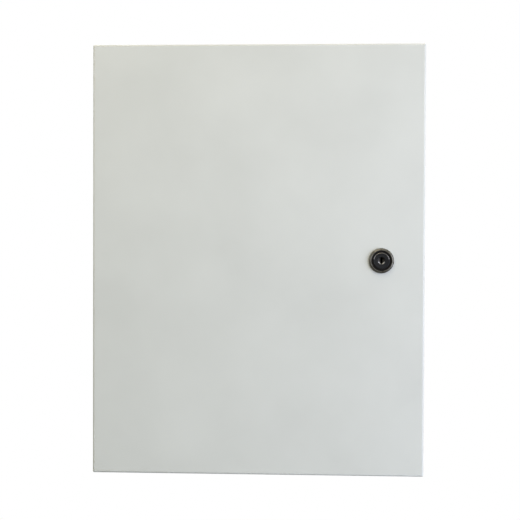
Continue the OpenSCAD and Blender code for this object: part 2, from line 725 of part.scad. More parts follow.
// Display: a carrier on four legs with a deep metal frame round the glass
module display_module() color("dimgray") on_panel() translate([display_at[0], 0, display_at[1]]) difference() {
    union() {
        span([-display_w / 2 - 4, display_w / 2 + 4], [panel_board_y - 6.6, panel_board_y - 5],
            [-display_h / 2 - 5, display_h / 2 + 5]);
        span([-display_w / 2 - 1.5, display_w / 2 + 1.5], [fascia_back_y + 0.3, panel_board_y - 6],
            [-display_h / 2 - 1.5, display_h / 2 + 1.5]);
        for (x = [-1, 1], z = [-1, 1])
            rod_y(1.6, [panel_board_y - 5.5, panel_board_y], x * (display_w / 2 + 1.8),
                z * (display_h / 2 + 2.8));
    }
    span([-display_w / 2 + 2, display_w / 2 - 2], [fascia_back_y - 1, fascia_back_y + 3],
        [-display_h / 2 + 2, display_h / 2 - 2]);
}

module display_glass() color("lightsteelblue") on_panel() translate([display_at[0], 0, display_at[1]])
    span([-display_w / 2 + 2.1, display_w / 2 - 2.1], [fascia_back_y + 0.8, fascia_back_y + 2.95],
        [-display_h / 2 + 2.1, display_h / 2 - 2.1]);

// Status lamps: a domed lens on a flanged body with two legs
module status_lamps() color("red") at_lamps() {
    translate([0, fascia_y - 0.2, 0]) rotate([-90, 0, 0]) cylinder(d = lamp_d, h = fascia_t + 4);
    translate([0, fascia_y - 0.2, 0]) difference() {
        sphere(d = lamp_d);
        span([-5, 5], [0, 5], [-5, 5]);
    }
    rod_y(lamp_d / 2 + 0.4, [fascia_back_y + 3, fascia_back_y + 4.2]);
    for (x = [-1, 1]) rod_y(0.35, [fascia_back_y + 4, panel_board_y], x * 0.9);
}

// Tactile switches behind the push buttons
switch_w = 6;
switch_h = 3.5;
module button_switches() color("black") for (i = [0 : 3]) at_button(i) {
    span([-switch_w / 2, switch_w / 2], [panel_board_y - switch_h, panel_board_y],
        [-switch_w / 2, switch_w / 2]);
    rod_y(1.7, [switch_top, panel_board_y - switch_h + 0.5]);
}

// A push button: cap, retaining flange and stem
module push_button(i) at_button(i) {
    slab_y([fascia_y - button_out, fascia_back_y + 1]) rounded_rect(button_w, button_w, 1.5);
    slab_y([fascia_back_y + 0.3, fascia_back_y + 1.5]) rounded_rect(button_flange, button_flange, 1.5);
    rod_y(2.5, [fascia_back_y + 1, switch_top - button_travel - 0.3]);
}

module acknowledge_button() color("gold") push_button(0);
module silence_button() color("gray") push_button(1);
module reset_button() color("gray") push_button(2);
module test_button() color("gray") push_button(3);

// Membrane keypad stuck on the fascia, with twelve raised keys
module keypad() color("whitesmoke") on_panel() translate([keypad_at[0], 0, keypad_at[1]]) {
    slab_y([fascia_y - keypad_t, fascia_y]) rounded_rect(keypad_size[0], keypad_size[1], 2);
    for (x = [-1 : 1], z = [-1.5 : 1.5]) translate([x * key_pitch[0], 0, z * key_pitch[1]])
        slab_y([fascia_y - keypad_t - key_t, fascia_y - keypad_t / 2]) rounded_rect(key_w, key_w, 1.2);
}

// Flat ribbon from the operator board's back to the main board: two straight runs and two half turns
ribbon_w = 26;
ribbon_t = 0.9;
ribbon_r = 5;
ribbon_x = panel_x + 52;
socket_h = 6;
socket_t = 8;
socket_end = 3;
socket_rise = 26;
socket_z = [panel_z - panel_h / 2 + 14, panel_z - panel_h / 2 + 14 + socket_rise];

// A socket lies at each end: the housing, and the bar that is pressed over the ribbon
module ribbon_sockets() color("black") for (end = [[board_y - socket_h, board_y, socket_z[0]],
    [panel_board_back_y, panel_board_back_y + socket_h, socket_z[1]]]) difference() {
    span([ribbon_x - ribbon_w / 2 - socket_end, ribbon_x + ribbon_w / 2 + socket_end], [end[0], end[1]],
        [end[2] - socket_t / 2, end[2] + socket_t / 2]);
    for (s = [-1, 1]) translate([ribbon_x + s * (ribbon_w / 2 + 1.6), 0, end[2] + socket_t / 2])
        span([-0.6, 0.6], [end[0] - 1, end[1] + 1], [-1, 1]);
}

module ribbon_cable() color("lightgray") {
    y = [panel_board_back_y + socket_h, board_y - socket_h];
    mid = (y[0] + y[1]) / 2;
    bend = [socket_z[0] - ribbon_r, socket_z[1] + ribbon_r];
    translate([ribbon_x - ribbon_w / 2, 0, 0]) rotate([90, 0, 90]) linear_extrude(ribbon_w) union() {
        translate([y[0], socket_z[1] - ribbon_t / 2]) square([mid - y[0] - ribbon_r, ribbon_t]);
        translate([mid, socket_z[0] - ribbon_t / 2]) translate([ribbon_r, 0])
            square([y[1] - mid - ribbon_r, ribbon_t]);
        translate([mid - ribbon_t / 2, socket_z[0] + ribbon_r])
            square([ribbon_t, socket_z[1] - socket_z[0] - 2 * ribbon_r]);
        translate([mid - ribbon_r, socket_z[1] - ribbon_r]) quarter_ring();
        translate([mid + ribbon_r, socket_z[0] + ribbon_r]) rotate(180) quarter_ring();
    }
}

// A quarter of the ribbon's bend, in its own section
module quarter_ring() intersection() {
    difference() {
        circle(ribbon_r + ribbon_t / 2);
        circle(ribbon_r - ribbon_t / 2);
    }
    square(ribbon_r + ribbon_t);
}

// ---- zone card ----------------------------------------------------------------------------------------

module zone_card() color("darkgreen") difference() {
    span([card_x0, card_x0 + card_w], [board_y, board_back_y], [card_z0, row_z]);
    for (f = card_fixings) rod_y(screw_r + 0.1, [board_y - 1, board_back_y + 1], f[0], f[1]);
}

// ---- power supply -------------------------------------------------------------------------------------

supply_t = 1;
supply_front_y = plate_y - supply_d;
supply_open = 16;
supply_board_back_y = plate_y - 6;
supply_board_y = supply_board_back_y - board_t;
supply_cover_x1 = supply_x1 - supply_open;
supply_mid_z = row_z - supply_h / 2;
barrier_pitch = 9.5;
barrier_poles = 7;
barrier_h = 12;

// Folded tray with a back and two long walls
module power_supply_case() color("silver") {
    span([supply_x0, supply_x1], [plate_y - supply_t, plate_y], [supply_z0, row_z]);
    for (z = [supply_z0, row_z - supply_t])
        span([supply_x0, supply_x1], [supply_front_y + supply_t, plate_y], [z, z + supply_t]);
    for (x = [supply_x0 + 8, supply_x1 - 8], z = [supply_z0 + 10, row_z - 10])
        rod_y(3, [supply_board_back_y, plate_y - supply_t / 2], x, z);
}

// Cover with its field of vent holes
module power_supply_cover() color("silver") {
    vent_x = floor((supply_cover_x1 - supply_x0 - 12) / vent_pitch);
    vent_z = floor((supply_h - 14) / vent_pitch);
    mid_x = (supply_x0 + supply_cover_x1) / 2;
    slab_y([supply_front_y, supply_front_y + supply_t]) difference() {
        translate([supply_x0, supply_z0]) square([supply_cover_x1 - supply_x0, supply_h]);
        for (i = [0 : vent_x - 1], k = [0 : vent_z - 1])
            translate([mid_x, supply_mid_z] + vent_pitch * [i - (vent_x - 1) / 2, k - (vent_z - 1) / 2])
                circle(d = vent_d);
    }
    span([supply_x0, supply_x0 + supply_t], [supply_front_y + supply_t / 2, plate_y - supply_t],
        [supply_z0 + supply_t, row_z - supply_t]);
}

// Transformer of the power supply, and its input and output capacitors
transformer_w = 34;
transformer_h = 30;
core_out = 22;
core_limb = 6;
winding_out = 24;
input_can_r = 9;
input_can_out = 25;
input_can_pitch = 44;
output_can_r = 5;
output_can_out = 20;
output_can_pitch = 14;
transformer_x = supply_x0 + 67;
input_can_x = supply_x0 + 26;
output_can_x = supply_x0 + 98;

// Board with the transformer and the smoothing capacitors
module power_supply_board() color("olivedrab") {
    span([supply_x0 + 3, supply_x1 - 1], [supply_board_y, supply_board_back_y], [supply_z0 + 3, row_z - 3]);
    translate([transformer_x, supply_board_y, supply_mid_z]) {
        slab_y([-core_out, -2]) difference() {
            square([transformer_w, transformer_h], center = true);
            square([transformer_w - 2 * core_limb, transformer_h - 2 * core_limb], center = true);
        }
        slab_y([-winding_out, 0.1])
            rounded_rect(transformer_w - 2 * core_limb - 1, transformer_h - 2 * core_limb + 6, 2.5);
    }
    for (s = [-0.5, 0.5])
        translate([input_can_x, supply_board_y, supply_mid_z + s * input_can_pitch])
            electrolytic(input_can_r, input_can_out);
    for (s = [-1, 0, 1])
        translate([output_can_x, supply_board_y, supply_mid_z + s * output_can_pitch])
            electrolytic(output_can_r, output_can_out);
}

// Barrier strip of the power supply: pockets with a clamping screw in each
module power_supply_terminals() color("darkslategray") {
    x = [supply_x1 - 15, supply_x1 - 1];
    half = barrier_pitch * barrier_poles / 2 + 1;
    difference() {
        span(x, [supply_board_y - barrier_h, supply_board_y], [supply_mid_z - half, supply_mid_z + half]);
        for (i = [0 : barrier_poles - 1]) translate([0, 0, strip_pole(i)[2]])
            span([x[0] - 1, x[1] - 2], [supply_board_y - barrier_h - 1, supply_board_y - 6],
                [1 - barrier_pitch / 2, barrier_pitch / 2 - 1]);
    }
    for (i = [0 : barrier_poles - 1])
        rod_y(3, [supply_board_y - 9, supply_board_y - 5], x[0] + 6, strip_pole(i)[2]);
}

// Mains terminal block: a mouth on each side and two screws in wells at each pole
mains_out = 18;
mains_rib = 3;
mains_mouth_r = 2.2;
mains_screw_r = 2.3;
mains_screw_in = 5.5;

module at_mains_screws() for (i = [0 : mains_poles - 1], x = [mains_screw_in, mains_w - mains_screw_in])
    translate([mains_x0 + x, plate_y - mains_out, mains_z0 + (i + 0.5) * mains_pitch]) children();

module mains_block() color("ivory") {
    z = [mains_z0, mains_z0 + mains_poles * mains_pitch];
    difference() {
        span([mains_x0, mains_x0 + mains_w], [plate_y - mains_out, plate_y], z);
        at_mains_screws() rod_y(mains_screw_r + 0.1, [-1, mains_out / 2 - 3]);
        for (i = [0 : mains_poles - 1], x = [-1, mains_w - 9])
            translate([mains_x0 + x, plate_y - mains_out / 2, mains_z0 + (i + 0.5) * mains_pitch])
                rotate([0, 90, 0]) cylinder(r = mains_mouth_r, h = 10);
    }
    span([mains_x0 + mains_w / 2 - mains_rib, mains_x0 + mains_w / 2 + mains_rib],
        [plate_y - mains_out - mains_rib, plate_y - mains_out + eps], z);
    at_mains_screws() difference() {
        rod_y(mains_screw_r + 0.2, [2, mains_out / 2 - 2.9]);
        translate([0, 2, 0]) cube([6, 1.4, 0.7], center = true);
    }
}

// Leads from the barrier strip: three to the mains block, two up to the main board
function strip_pole(i) = [supply_x1 - 7, supply_board_y - barrier_h - 0.7,
    supply_mid_z + (i - (barrier_poles - 1) / 2) * barrier_pitch];
function mains_pole(i) = [mains_x0 + 2, plate_y - 9.3, mains_z0 + (i + 0.5) * mains_pitch];
mains_lead_routes = [for (i = [0 : 2]) concat(
    from(strip_pole(i), [[0, 0, 0.5], [1, -5, 0.5], [6, -7, -1.5], [10, -1, -2.5]]),
    from(mains_pole(i + 1), [[-5.4, -5, 0], [-4, -1.4, 0], [-1.5, -0.1, 0], [0, 0.3, 0]]))];
supply_lead_routes = [
    concat(from(strip_pole(5), [[0, 0, 0], [2, -5, 1], [8, -6, 6], [10, -3, 18]]),
        from(mouth(2, 1), [[8.2, -7.7, -26], [5.2, -6.7, -15], [0.2, -2.7, -8], [0, 0, 0]])),
    concat(from(strip_pole(6), [[0, 0, 0], [1, -6, 0.5], [7, -10, 5.5], [9.8, -8, 14.5]]),
        from(mouth(2, 0), [[12.2, -11.7, -22], [5.2, -7.7, -13], [0.2, -2.7, -7], [0, 0, 0]]))];

module mains_leads() color("saddlebrown") for (r = mains_lead_routes) lead(r);
module supply_leads() color("crimson") for (r = supply_lead_routes) lead(r);

// ---- batteries ----------------------------------------------------------------------------------------

// Sealed battery: jar, wider lid, raised vent strip and two terminal wells
module battery(i) translate([battery_x[i] + battery_w / 2, (battery_y0 + battery_y1) / 2, floor_z]) {
    linear_extrude(battery_h - 14) rounded_rect(battery_w - 2, battery_d - 2, 3);
    difference() {
        translate([0, 0, battery_h - 14 - eps]) linear_extrude(14 + eps - 2)
            rounded_rect(battery_w, battery_d, 3);
        for (y = tab_y) translate([tab_x - battery_w / 2, y - (battery_y0 + battery_y1) / 2, battery_h - 5])
            cube([12, 12, 8], center = true);
    }
    translate([8, 0, battery_h - 2.5]) linear_extrude(2.5) rounded_rect(battery_w - 36, battery_d - 26, 3);
}

module battery_left() color("dimgray") battery(0);
module battery_right() color("dimgray") battery(1);

module at_tabs() for (x = battery_x, y = tab_y) translate([x + tab_x, y, battery_top]) children();

module battery_tabs() color("silver") at_tabs() {
    translate([-3.2, -0.4, -9]) cube([6.4, 0.8, 9 + tab_h]);
    translate([-4, -4, -9]) cube([8, 8, 1.5]);
}

// Angle on the floor that keeps the batteries from sliding forward
module battery_stop() color("gainsboro") {
    y = battery_y0 - stop_gap;
    span([-battery_w - 2, battery_w + 2], [shoulder_in_y + 0.5, y], [floor_z, floor_z + steel]);
    span([-battery_w - 2, battery_w + 2], [y - steel, y], [floor_z, floor_z + stop_h]);
}

// Insulated sockets pushed over the tabs
module tab_sleeves() color("firebrick") at_tabs() difference() {
    translate([-4.5, -2, 1]) cube([9, 4, battery_headroom - 1]);
    translate([-3.3, -0.5, 0]) cube([6.6, 1, tab_h + 1]);
}

// Red lead up the left side, black lead between the mains block and the zone card, and the link between both
battery_lead_routes = [
    concat(from(sleeve_top(0, 1), [[0, 0, 0.1], [0, 0, 2], [0, 0, 6], [2, 11, 14], [4, 29, 28]]),
        from([supply_x0 - 7, plate_y - 17.3, supply_mid_z], [[0, 0, 3], [0, 0, 43]]),
        from(mouth(0, 0), [[-26.6, -4.7, -18], [-9.6, -4.7, -14], [-0.6, -1.7, -9], [0, 0, 0]])),
    concat(from(sleeve_top(1, 0), [[0, 0, 0.1], [0, 0, 2], [0, 0, 5], [10, -16, 8]]),
        from([mains_x0 + mains_w + 4, plate_y - 19.3, mains_z0], [[-1, -10, 2], [0, -4, 20], [0, 0, 60]]),
        from(mouth(2, 6), [[18.8, -7.7, -24], [8.8, -7.7, -14], [0.8, -2.7, -9], [0, 0, 0]])),
    concat(from(sleeve_top(0, 0), [[0, 0, 0.1], [0, 0, 2], [0, 0, 4], [15, -16, 6], [55, -34, 0], [105, -36, -2]]),
        from(sleeve_top(1, 1), [[-18, 2, 2], [-3, 0, 6], [0, 0, 4], [0, 0, 2], [0, 0, 0.1]]))];

module battery_leads() color("black") for (r = battery_lead_routes) lead(r, steps = 2);

// ---- door ---------------------------------------------------------------------------------------------

// The outline that the lock's barrel passes through
module barrel_outline(play) intersection() {
    circle(r = barrel_r + play);
    square([barrel_flats + 2 * play, 2 * barrel_r + 2], center = true);
}

// Door pan: folded on all four edges, notched at the hinges
module door_panel() color("gainsboro") difference() {
    folded_block(cab_w, cab_h, [door_y, rim_y], bend_r);
    span([-room_x, room_x], [door_in_y, rim_y + 1], [-room_z, room_z]);
    translate([lock_x, 0, lock_z]) slab_y([door_y - 1, door_in_y + 1]) barrel_outline(part_gap);
    for (z = [-1, 1]) translate([0, 0, z * hinge_span / 2])
        span([-half_w - 1, -room_x + 1], [door_y + notch_skin, rim_y + 1],
            [-hinge_notch / 2, hinge_notch / 2]);
}

module door_hinge_leaves() color("silver") at_hinges() difference() {
    y = [steel - hinge_depth, steel - hinge_depth + leaf_t];
    union() {
        cylinder(r = knuckle_r, h = knuckle_h, center = true);
        span([0, door_leaf_end], y, [-knuckle_h / 2, knuckle_h / 2]);
        span([knuckle_r + 0.1, door_leaf_end], y, [-door_leaf_h / 2, door_leaf_h / 2]);
    }
    cylinder(r = hinge_pin_r + pin_clear, h = knuckle_h + 2, center = true);
}

// Four strips of sponge rubber stuck on the door opposite the lip, butted at the corners
module door_seal() color("black") {
    x = (lip_w - steel) / 2;
    z = (lip_tall - steel) / 2;
    y = [door_in_y, lip_y - seal_gap];
    for (s = [-1, 1]) {
        span([-x - seal_w / 2, x + seal_w / 2], y, [s * z - seal_w / 2, s * z + seal_w / 2]);
        span([s * x - seal_w / 2, s * x + seal_w / 2], y, [seal_w / 2 - z, z - seal_w / 2]);
    }
}

// Origin on the lock's axis at the door's face, +Z outwards, +Y up
module at_lock() translate([lock_x, door_y, lock_z]) rotate([90, 0, 0]) children();

// Bezel and barrel in one casting
module lock_barrel() color("dimgray") at_lock() difference() {
    bore = plug_r + plug_clear;
    rotate_extrude() polygon([[bore, barrel_end], [barrel_r, barrel_end], [barrel_r, 0], [bezel_r, 0],
        [bezel_r, bezel_h * 0.35], [bezel_r - 0.3, bezel_h * 0.62], [bezel_r - 0.9, bezel_h * 0.86],
        [bezel_r - 1.6, bezel_h], [dish_r + 0.4, bezel_h], [dish_r, bezel_h - 0.4], [dish_r, dish_floor],
        [bore, dish_floor]]);
    for (x = [-1, 1]) translate([x * (barrel_flats / 2 + 5), 0, barrel_end / 2])
        cube([10, 2 * barrel_r + 2, -barrel_end], center = true);
}

module lock_nut() color("silver") at_lock() translate([0, 0, -steel - nut_t]) difference() {
    cylinder(d = nut_af / cos(30), h = nut_t, $fn = 6);
    translate([0, 0, -1]) cylinder(r = barrel_r + 0.05, h = nut_t + 2);
}

module door_earth_point() color("darkkhaki") translate(door_earth) rotate([-90, 0, 0]) rotate(180) earth_point();

// ---- turning part of the lock -------------------------------------------------------------------------

// The key slot, drawn on the lock's axis
module key_slot() square([key_slot_w, key_slot_h], center = true);

module lock_plug() color("black") at_lock() difference() {
    union() {
        rotate_extrude() polygon([[0, barrel_end], [plug_r, barrel_end], [plug_r, dish_floor + part_gap],
            [plug_head_d / 2, dish_floor + part_gap], [plug_head_d / 2, plug_front - 0.4],
            [plug_head_d / 2 - 0.4, plug_front], [0, plug_front]]);
        translate([0, 0, (cam_front - cam_t + barrel_end + 1) / 2])
            cube([tang, tang, barrel_end + 1 - cam_front + cam_t], center = true);
    }
    translate([0, 0, guide_floor]) cylinder(d = guide_d + 0.1, h = 5);
    translate([0, 0, plug_front - key_slot_deep]) linear_extrude(key_slot_deep + 1) key_slot();
    translate([0, 0, cam_front - cam_t - 1]) cylinder(r = cam_screw_r + 0.05, h = 9);
}

// Dished disc round the key slot
module key_guide() color("silver") at_lock() difference() {
    translate([0, 0, guide_floor]) cylinder(d = guide_d, h = plug_front - guide_floor);
    translate([0, 0, guide_floor + 0.5]) cylinder(r1 = guide_d / 2 - 1.6, r2 = guide_d / 2 - 0.3, h = 1.1);
    translate([0, 0, guide_floor - 1]) linear_extrude(4) key_slot();
}

// Cam: points up when unlocked, and turns behind the cabinet's shoulder
module lock_cam() color("silver") at_lock() translate([0, 0, cam_front - cam_t]) linear_extrude(cam_t) difference() {
    union() {
        circle(r = 9);
        translate([-cam_w / 2, 0]) square([cam_w, cam_len - cam_w / 2]);
        translate([0, cam_len - cam_w / 2]) circle(d = cam_w);
    }
    square(tang + 0.1, center = true);
}

module cam_screw() color("dimgray") at_lock() {
    translate([0, 0, cam_front - cam_t - cam_screw_head_h - part_gap])
        cylinder(r = cam_screw_head_r, h = cam_screw_head_h);
    translate([0, 0, cam_front - cam_t - 1 - part_gap]) cylinder(r = cam_screw_r, h = 8);
}

back_box();
hinge_brackets();
hinge_pins();
box_earth_point();
door_earth_lead();
chassis_studs();
chassis_plate();
chassis_nuts();
board_standoffs();
main_board();
machine_screws();
terminal_blocks();
terminal_screws();
relays();
capacitors();
heat_sink();
chips();
fuse_clips();
glass_fuses();
sounder();
panel_posts();
operator_board();
operator_fascia();
display_module();
display_glass();
status_lamps();
button_switches();
keypad();
ribbon_cable();
ribbon_sockets();
acknowledge_button();
silence_button();
reset_button();
test_button();
zone_card();
power_supply_case();
power_supply_cover();
power_supply_board();
power_supply_terminals();
mains_block();
mains_leads();
supply_leads();
battery_left();
battery_right();
battery_tabs();
battery_stop();
battery_leads();
tab_sleeves();
door_panel();
door_hinge_leaves();
door_seal();
lock_barrel();
lock_nut();
door_earth_point();
lock_plug();
key_guide();
lock_cam();
cam_screw();
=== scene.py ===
import json
import math
import random

import bmesh
import bpy
from mathutils import Matrix, Vector

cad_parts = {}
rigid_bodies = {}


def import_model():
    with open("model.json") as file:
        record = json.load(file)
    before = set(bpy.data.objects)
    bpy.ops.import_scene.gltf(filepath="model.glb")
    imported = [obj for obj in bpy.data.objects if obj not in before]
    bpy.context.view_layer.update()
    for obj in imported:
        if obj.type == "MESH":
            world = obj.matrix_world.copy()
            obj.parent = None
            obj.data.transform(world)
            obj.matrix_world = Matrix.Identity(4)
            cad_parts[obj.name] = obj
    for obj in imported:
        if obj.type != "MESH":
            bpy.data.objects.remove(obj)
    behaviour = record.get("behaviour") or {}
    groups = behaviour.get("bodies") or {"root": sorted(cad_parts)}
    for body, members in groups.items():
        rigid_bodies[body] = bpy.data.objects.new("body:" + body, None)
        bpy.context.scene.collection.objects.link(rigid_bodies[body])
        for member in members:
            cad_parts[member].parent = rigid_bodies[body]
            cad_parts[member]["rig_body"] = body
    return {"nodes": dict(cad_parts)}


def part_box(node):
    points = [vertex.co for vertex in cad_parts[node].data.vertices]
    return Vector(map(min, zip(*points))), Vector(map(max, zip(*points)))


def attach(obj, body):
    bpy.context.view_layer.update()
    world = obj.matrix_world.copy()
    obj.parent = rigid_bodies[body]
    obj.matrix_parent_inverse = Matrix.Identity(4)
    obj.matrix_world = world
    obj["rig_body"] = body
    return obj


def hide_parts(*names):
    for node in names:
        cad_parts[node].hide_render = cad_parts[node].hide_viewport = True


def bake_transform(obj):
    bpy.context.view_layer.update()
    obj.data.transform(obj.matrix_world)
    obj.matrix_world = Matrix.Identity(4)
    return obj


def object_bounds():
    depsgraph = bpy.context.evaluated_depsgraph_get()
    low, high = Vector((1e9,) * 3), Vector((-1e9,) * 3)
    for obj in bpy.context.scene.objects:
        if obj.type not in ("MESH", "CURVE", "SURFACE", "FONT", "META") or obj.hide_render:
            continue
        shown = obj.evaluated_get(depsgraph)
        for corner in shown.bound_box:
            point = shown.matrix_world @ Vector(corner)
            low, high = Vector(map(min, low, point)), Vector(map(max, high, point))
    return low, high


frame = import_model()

scene = bpy.context.scene
cad_low, cad_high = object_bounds()
cabinet_mid = (cad_low + cad_high) / 2


# ---- Studio -----------------------------------------------------------------------------------------------
# A pale floor some way under the cabinet, which fades to the white surround, one large soft lamp at the
# right, a weak warm one above and a third behind. The camera stands a little right of and above the door's middle.
scene.view_settings.view_transform = "Standard"


def add_node(tree, kind, settings=None, **inputs):
    """A new node. Each input is a value, or a socket that feeds it; an underscore stands for a space."""
    made = tree.nodes.new(kind)
    for key, value in (settings or {}).items():
        setattr(made, key, value)
    for key, value in inputs.items():
        numbered = key[0] == "i" and key[1:].isdigit()
        socket = made.inputs[int(key[1:]) if numbered else key.replace("_", " ")]
        if isinstance(value, bpy.types.NodeSocket):
            tree.links.new(value, socket)
        else:
            socket.default_value = value
    return made


def work_out(tree, operation, *values):
    """The result of a sum on values or sockets."""
    return add_node(tree, "ShaderNodeMath", {"operation": operation},
                    **{f"i{k}": value for k, value in enumerate(values)}).outputs[0]


def shown_rays(tree):
    """1 for the rays that show the surround: to the camera, in a gloss or through glass."""
    rays = add_node(tree, "ShaderNodeLightPath")
    gloss = add_node(tree, "ShaderNodeMath", {"operation": "ADD", "use_clamp": True},
                     i0=rays.outputs["Is Camera Ray"], i1=rays.outputs["Is Glossy Ray"])
    return add_node(tree, "ShaderNodeMath", {"operation": "ADD", "use_clamp": True},
                    i0=gloss.outputs[0], i1=rays.outputs["Is Transmission Ray"]).outputs[0]


def mix_colours(tree, factor, first, second):
    """The colour between two others, at a factor from 0 to 1."""
    return add_node(tree, "ShaderNodeMix", {"data_type": "RGBA"}, i0=factor, i6=first, i7=second).outputs[2]


surround_light = (0.36, 0.87)
surround_bright_side = Vector((0.62, -0.35, 0.70)).normalized()
world = bpy.data.worlds.new("studio_surround")
scene.world = world
world.use_nodes = True
sky = world.node_tree
sky.nodes.clear()
sky_direction = add_node(sky, "ShaderNodeTexCoord")
sky_side = add_node(sky, "ShaderNodeVectorMath", {"operation": "DOT_PRODUCT"},
                    i0=sky_direction.outputs["Generated"], i1=surround_bright_side)
sky_level = add_node(sky, "ShaderNodeMapRange", From_Min=-1.0, From_Max=1.0, To_Min=surround_light[0],
                     To_Max=surround_light[1], Value=sky_side.outputs["Value"])
sky_light = add_node(sky, "ShaderNodeBackground", Color=(0.985, 1.0, 0.89, 1.0), Strength=sky_level.outputs[0])
sky_white = add_node(sky, "ShaderNodeBackground", Color=(1.0, 1.0, 1.0, 1.0), Strength=1.0)
sky_mix = add_node(sky, "ShaderNodeMixShader", Fac=shown_rays(sky), i1=sky_light.outputs[0], i2=sky_white.outputs[0])
add_node(sky, "ShaderNodeOutputWorld", Surface=sky_mix.outputs[0])

floor_z = -0.75
floor_radius = 5.0
floor_fade = (0.75, 1.6)
floor_seen = (0.9, 0.9, 0.89, 1.0)
floor_bounce = (0.15, 0.15, 0.145, 1.0)
floor_mesh = bmesh.new()
bmesh.ops.create_circle(floor_mesh, cap_ends=True, segments=96, radius=floor_radius)
bmesh.ops.translate(floor_mesh, vec=(0, 0, floor_z), verts=floor_mesh.verts)
floor_data = bpy.data.meshes.new("studio_floor")
floor_mesh.to_mesh(floor_data)
floor_mesh.free()
floor_paint = bpy.data.materials.new("studio_floor")
floor_paint.use_nodes = True
floor_tree = floor_paint.node_tree
floor_tree.nodes["Principled BSDF"].inputs["Roughness"].default_value = 0.8
floor_place = add_node(floor_tree, "ShaderNodeTexCoord")
floor_flat = add_node(floor_tree, "ShaderNodeVectorMath", {"operation": "MULTIPLY"},
                      i0=floor_place.outputs["Object"], i1=(1, 1, 0))
floor_distance = add_node(floor_tree, "ShaderNodeVectorMath", {"operation": "LENGTH"}, i0=floor_flat.outputs[0])
floor_far = add_node(floor_tree, "ShaderNodeMapRange", {"interpolation_type": "SMOOTHSTEP"},
                     Value=floor_distance.outputs["Value"], From_Min=floor_fade[0], From_Max=floor_fade[1],
                     To_Min=0.45)
floor_rays = add_node(floor_tree, "ShaderNodeLightPath")
floor_tree.links.new(mix_colours(floor_tree, floor_rays.outputs["Is Camera Ray"], floor_bounce, floor_seen),
                     floor_tree.nodes["Principled BSDF"].inputs["Base Color"])
floor_fac = work_out(floor_tree, "MULTIPLY", floor_far.outputs[0], floor_rays.outputs["Is Camera Ray"])
floor_white = add_node(floor_tree, "ShaderNodeEmission", Color=(1, 1, 1, 1), Strength=1.0)
floor_mix = add_node(floor_tree, "ShaderNodeMixShader", Fac=floor_fac,
                     i1=floor_tree.nodes["Principled BSDF"].outputs[0], i2=floor_white.outputs[0])
floor_tree.links.new(floor_mix.outputs[0], floor_tree.nodes["Material Output"].inputs["Surface"])
floor_data.materials.append(floor_paint)
floor = bpy.data.objects.new("studio_floor", floor_data)
scene.collection.objects.link(floor)


def soft_lamp(name, place, size, power, colour):
    """A square area lamp that faces the cabinet's middle."""
    data = bpy.data.lights.new(name, "AREA")
    data.size = size
    data.energy = power
    data.color = colour
    lamp = bpy.data.objects.new(name, data)
    lamp.location = place
    lamp.rotation_euler = (cabinet_mid - Vector(place)).to_track_quat("-Z", "Y").to_euler()
    scene.collection.objects.link(lamp)


soft_lamp("key_lamp", (1.25, -1.0, -0.06), 1.4, 24.0, (0.731, 0.782, 1.0))
soft_lamp("fill_lamp", (-0.3, -0.8, 1.3), 1.0, 7.4, (1.0, 0.828, 0.562))
soft_lamp("rear_lamp", (-1.1, 1.5, 0.7), 1.4, 16.0, (0.84, 0.90, 1.0))

photo_width_px = 520
photo_focal_px = 1000
camera_data = bpy.data.cameras.new("photo_camera")
camera_data.sensor_width = 36
camera_data.lens = photo_focal_px / photo_width_px * camera_data.sensor_width
camera = bpy.data.objects.new("photo_camera", camera_data)
camera.matrix_world = (Matrix.Translation((0.0494, -1.176, 0.0193)) @ Matrix.Rotation(math.radians(2.517), 4, "Z")
                       @ Matrix.Rotation(math.radians(-1.024), 4, "X") @ Matrix.Rotation(math.radians(-0.22), 4, "Y")
                       @ Matrix.Rotation(math.radians(90), 4, "X"))
scene.collection.objects.link(camera)
scene.camera = camera


# ---- Back box ---------------------------------------------------------------------------------------------
# Welded sheet steel box: folded all round, with a shoulder and a sealing lip at its mouth, four wall-fixing
# holes and rings pressed round its cable knockouts. Light grey satin powder coat, baked on after welding.
per_mm = 1000.0


def srgb(red, green, blue):
    """A colour given in steps of 0 to 255, as the shaders need it."""
    def linear(step):
        part = step / 255
        return part / 12.92 if part <= 0.04045 else ((part + 0.055) / 1.055) ** 2.4
    return (linear(red), linear(green), linear(blue), 1.0)


def make_surface_skin():
    """Slow cloudy drift and fine grain over a surface, from noise that sits in the piece's own place."""
    group = bpy.data.node_groups.new("surface_skin", "ShaderNodeTree")
    for name, value in (("Cloud size", 40.0), ("Grain size", 0.5)):
        group.interface.new_socket(name, in_out="INPUT", socket_type="NodeSocketFloat").default_value = value
    group.interface.new_socket("Stretch", in_out="INPUT", socket_type="NodeSocketVector").default_value = (1, 1, 1)
    for name in ("Cloud", "Grain"):
        group.interface.new_socket(name, in_out="OUTPUT", socket_type="NodeSocketFloat")
    given = add_node(group, "NodeGroupInput")
    place = add_node(group, "ShaderNodeTexCoord")
    stretched = add_node(group, "ShaderNodeVectorMath", {"operation": "MULTIPLY"},
                         i0=place.outputs["Object"], i1=given.outputs["Stretch"])
    result = add_node(group, "NodeGroupOutput")
    for name, size, detail in (("Cloud", "Cloud size", 3.0), ("Grain", "Grain size", 2.0)):
        scale = work_out(group, "DIVIDE", per_mm, given.outputs[size])
        noise = add_node(group, "ShaderNodeTexNoise", Vector=stretched.outputs[0], Scale=scale,
                         Detail=detail, Roughness=0.5)
        group.links.new(noise.outputs[0], result.inputs[name])
    return group


surface_skin = make_surface_skin()


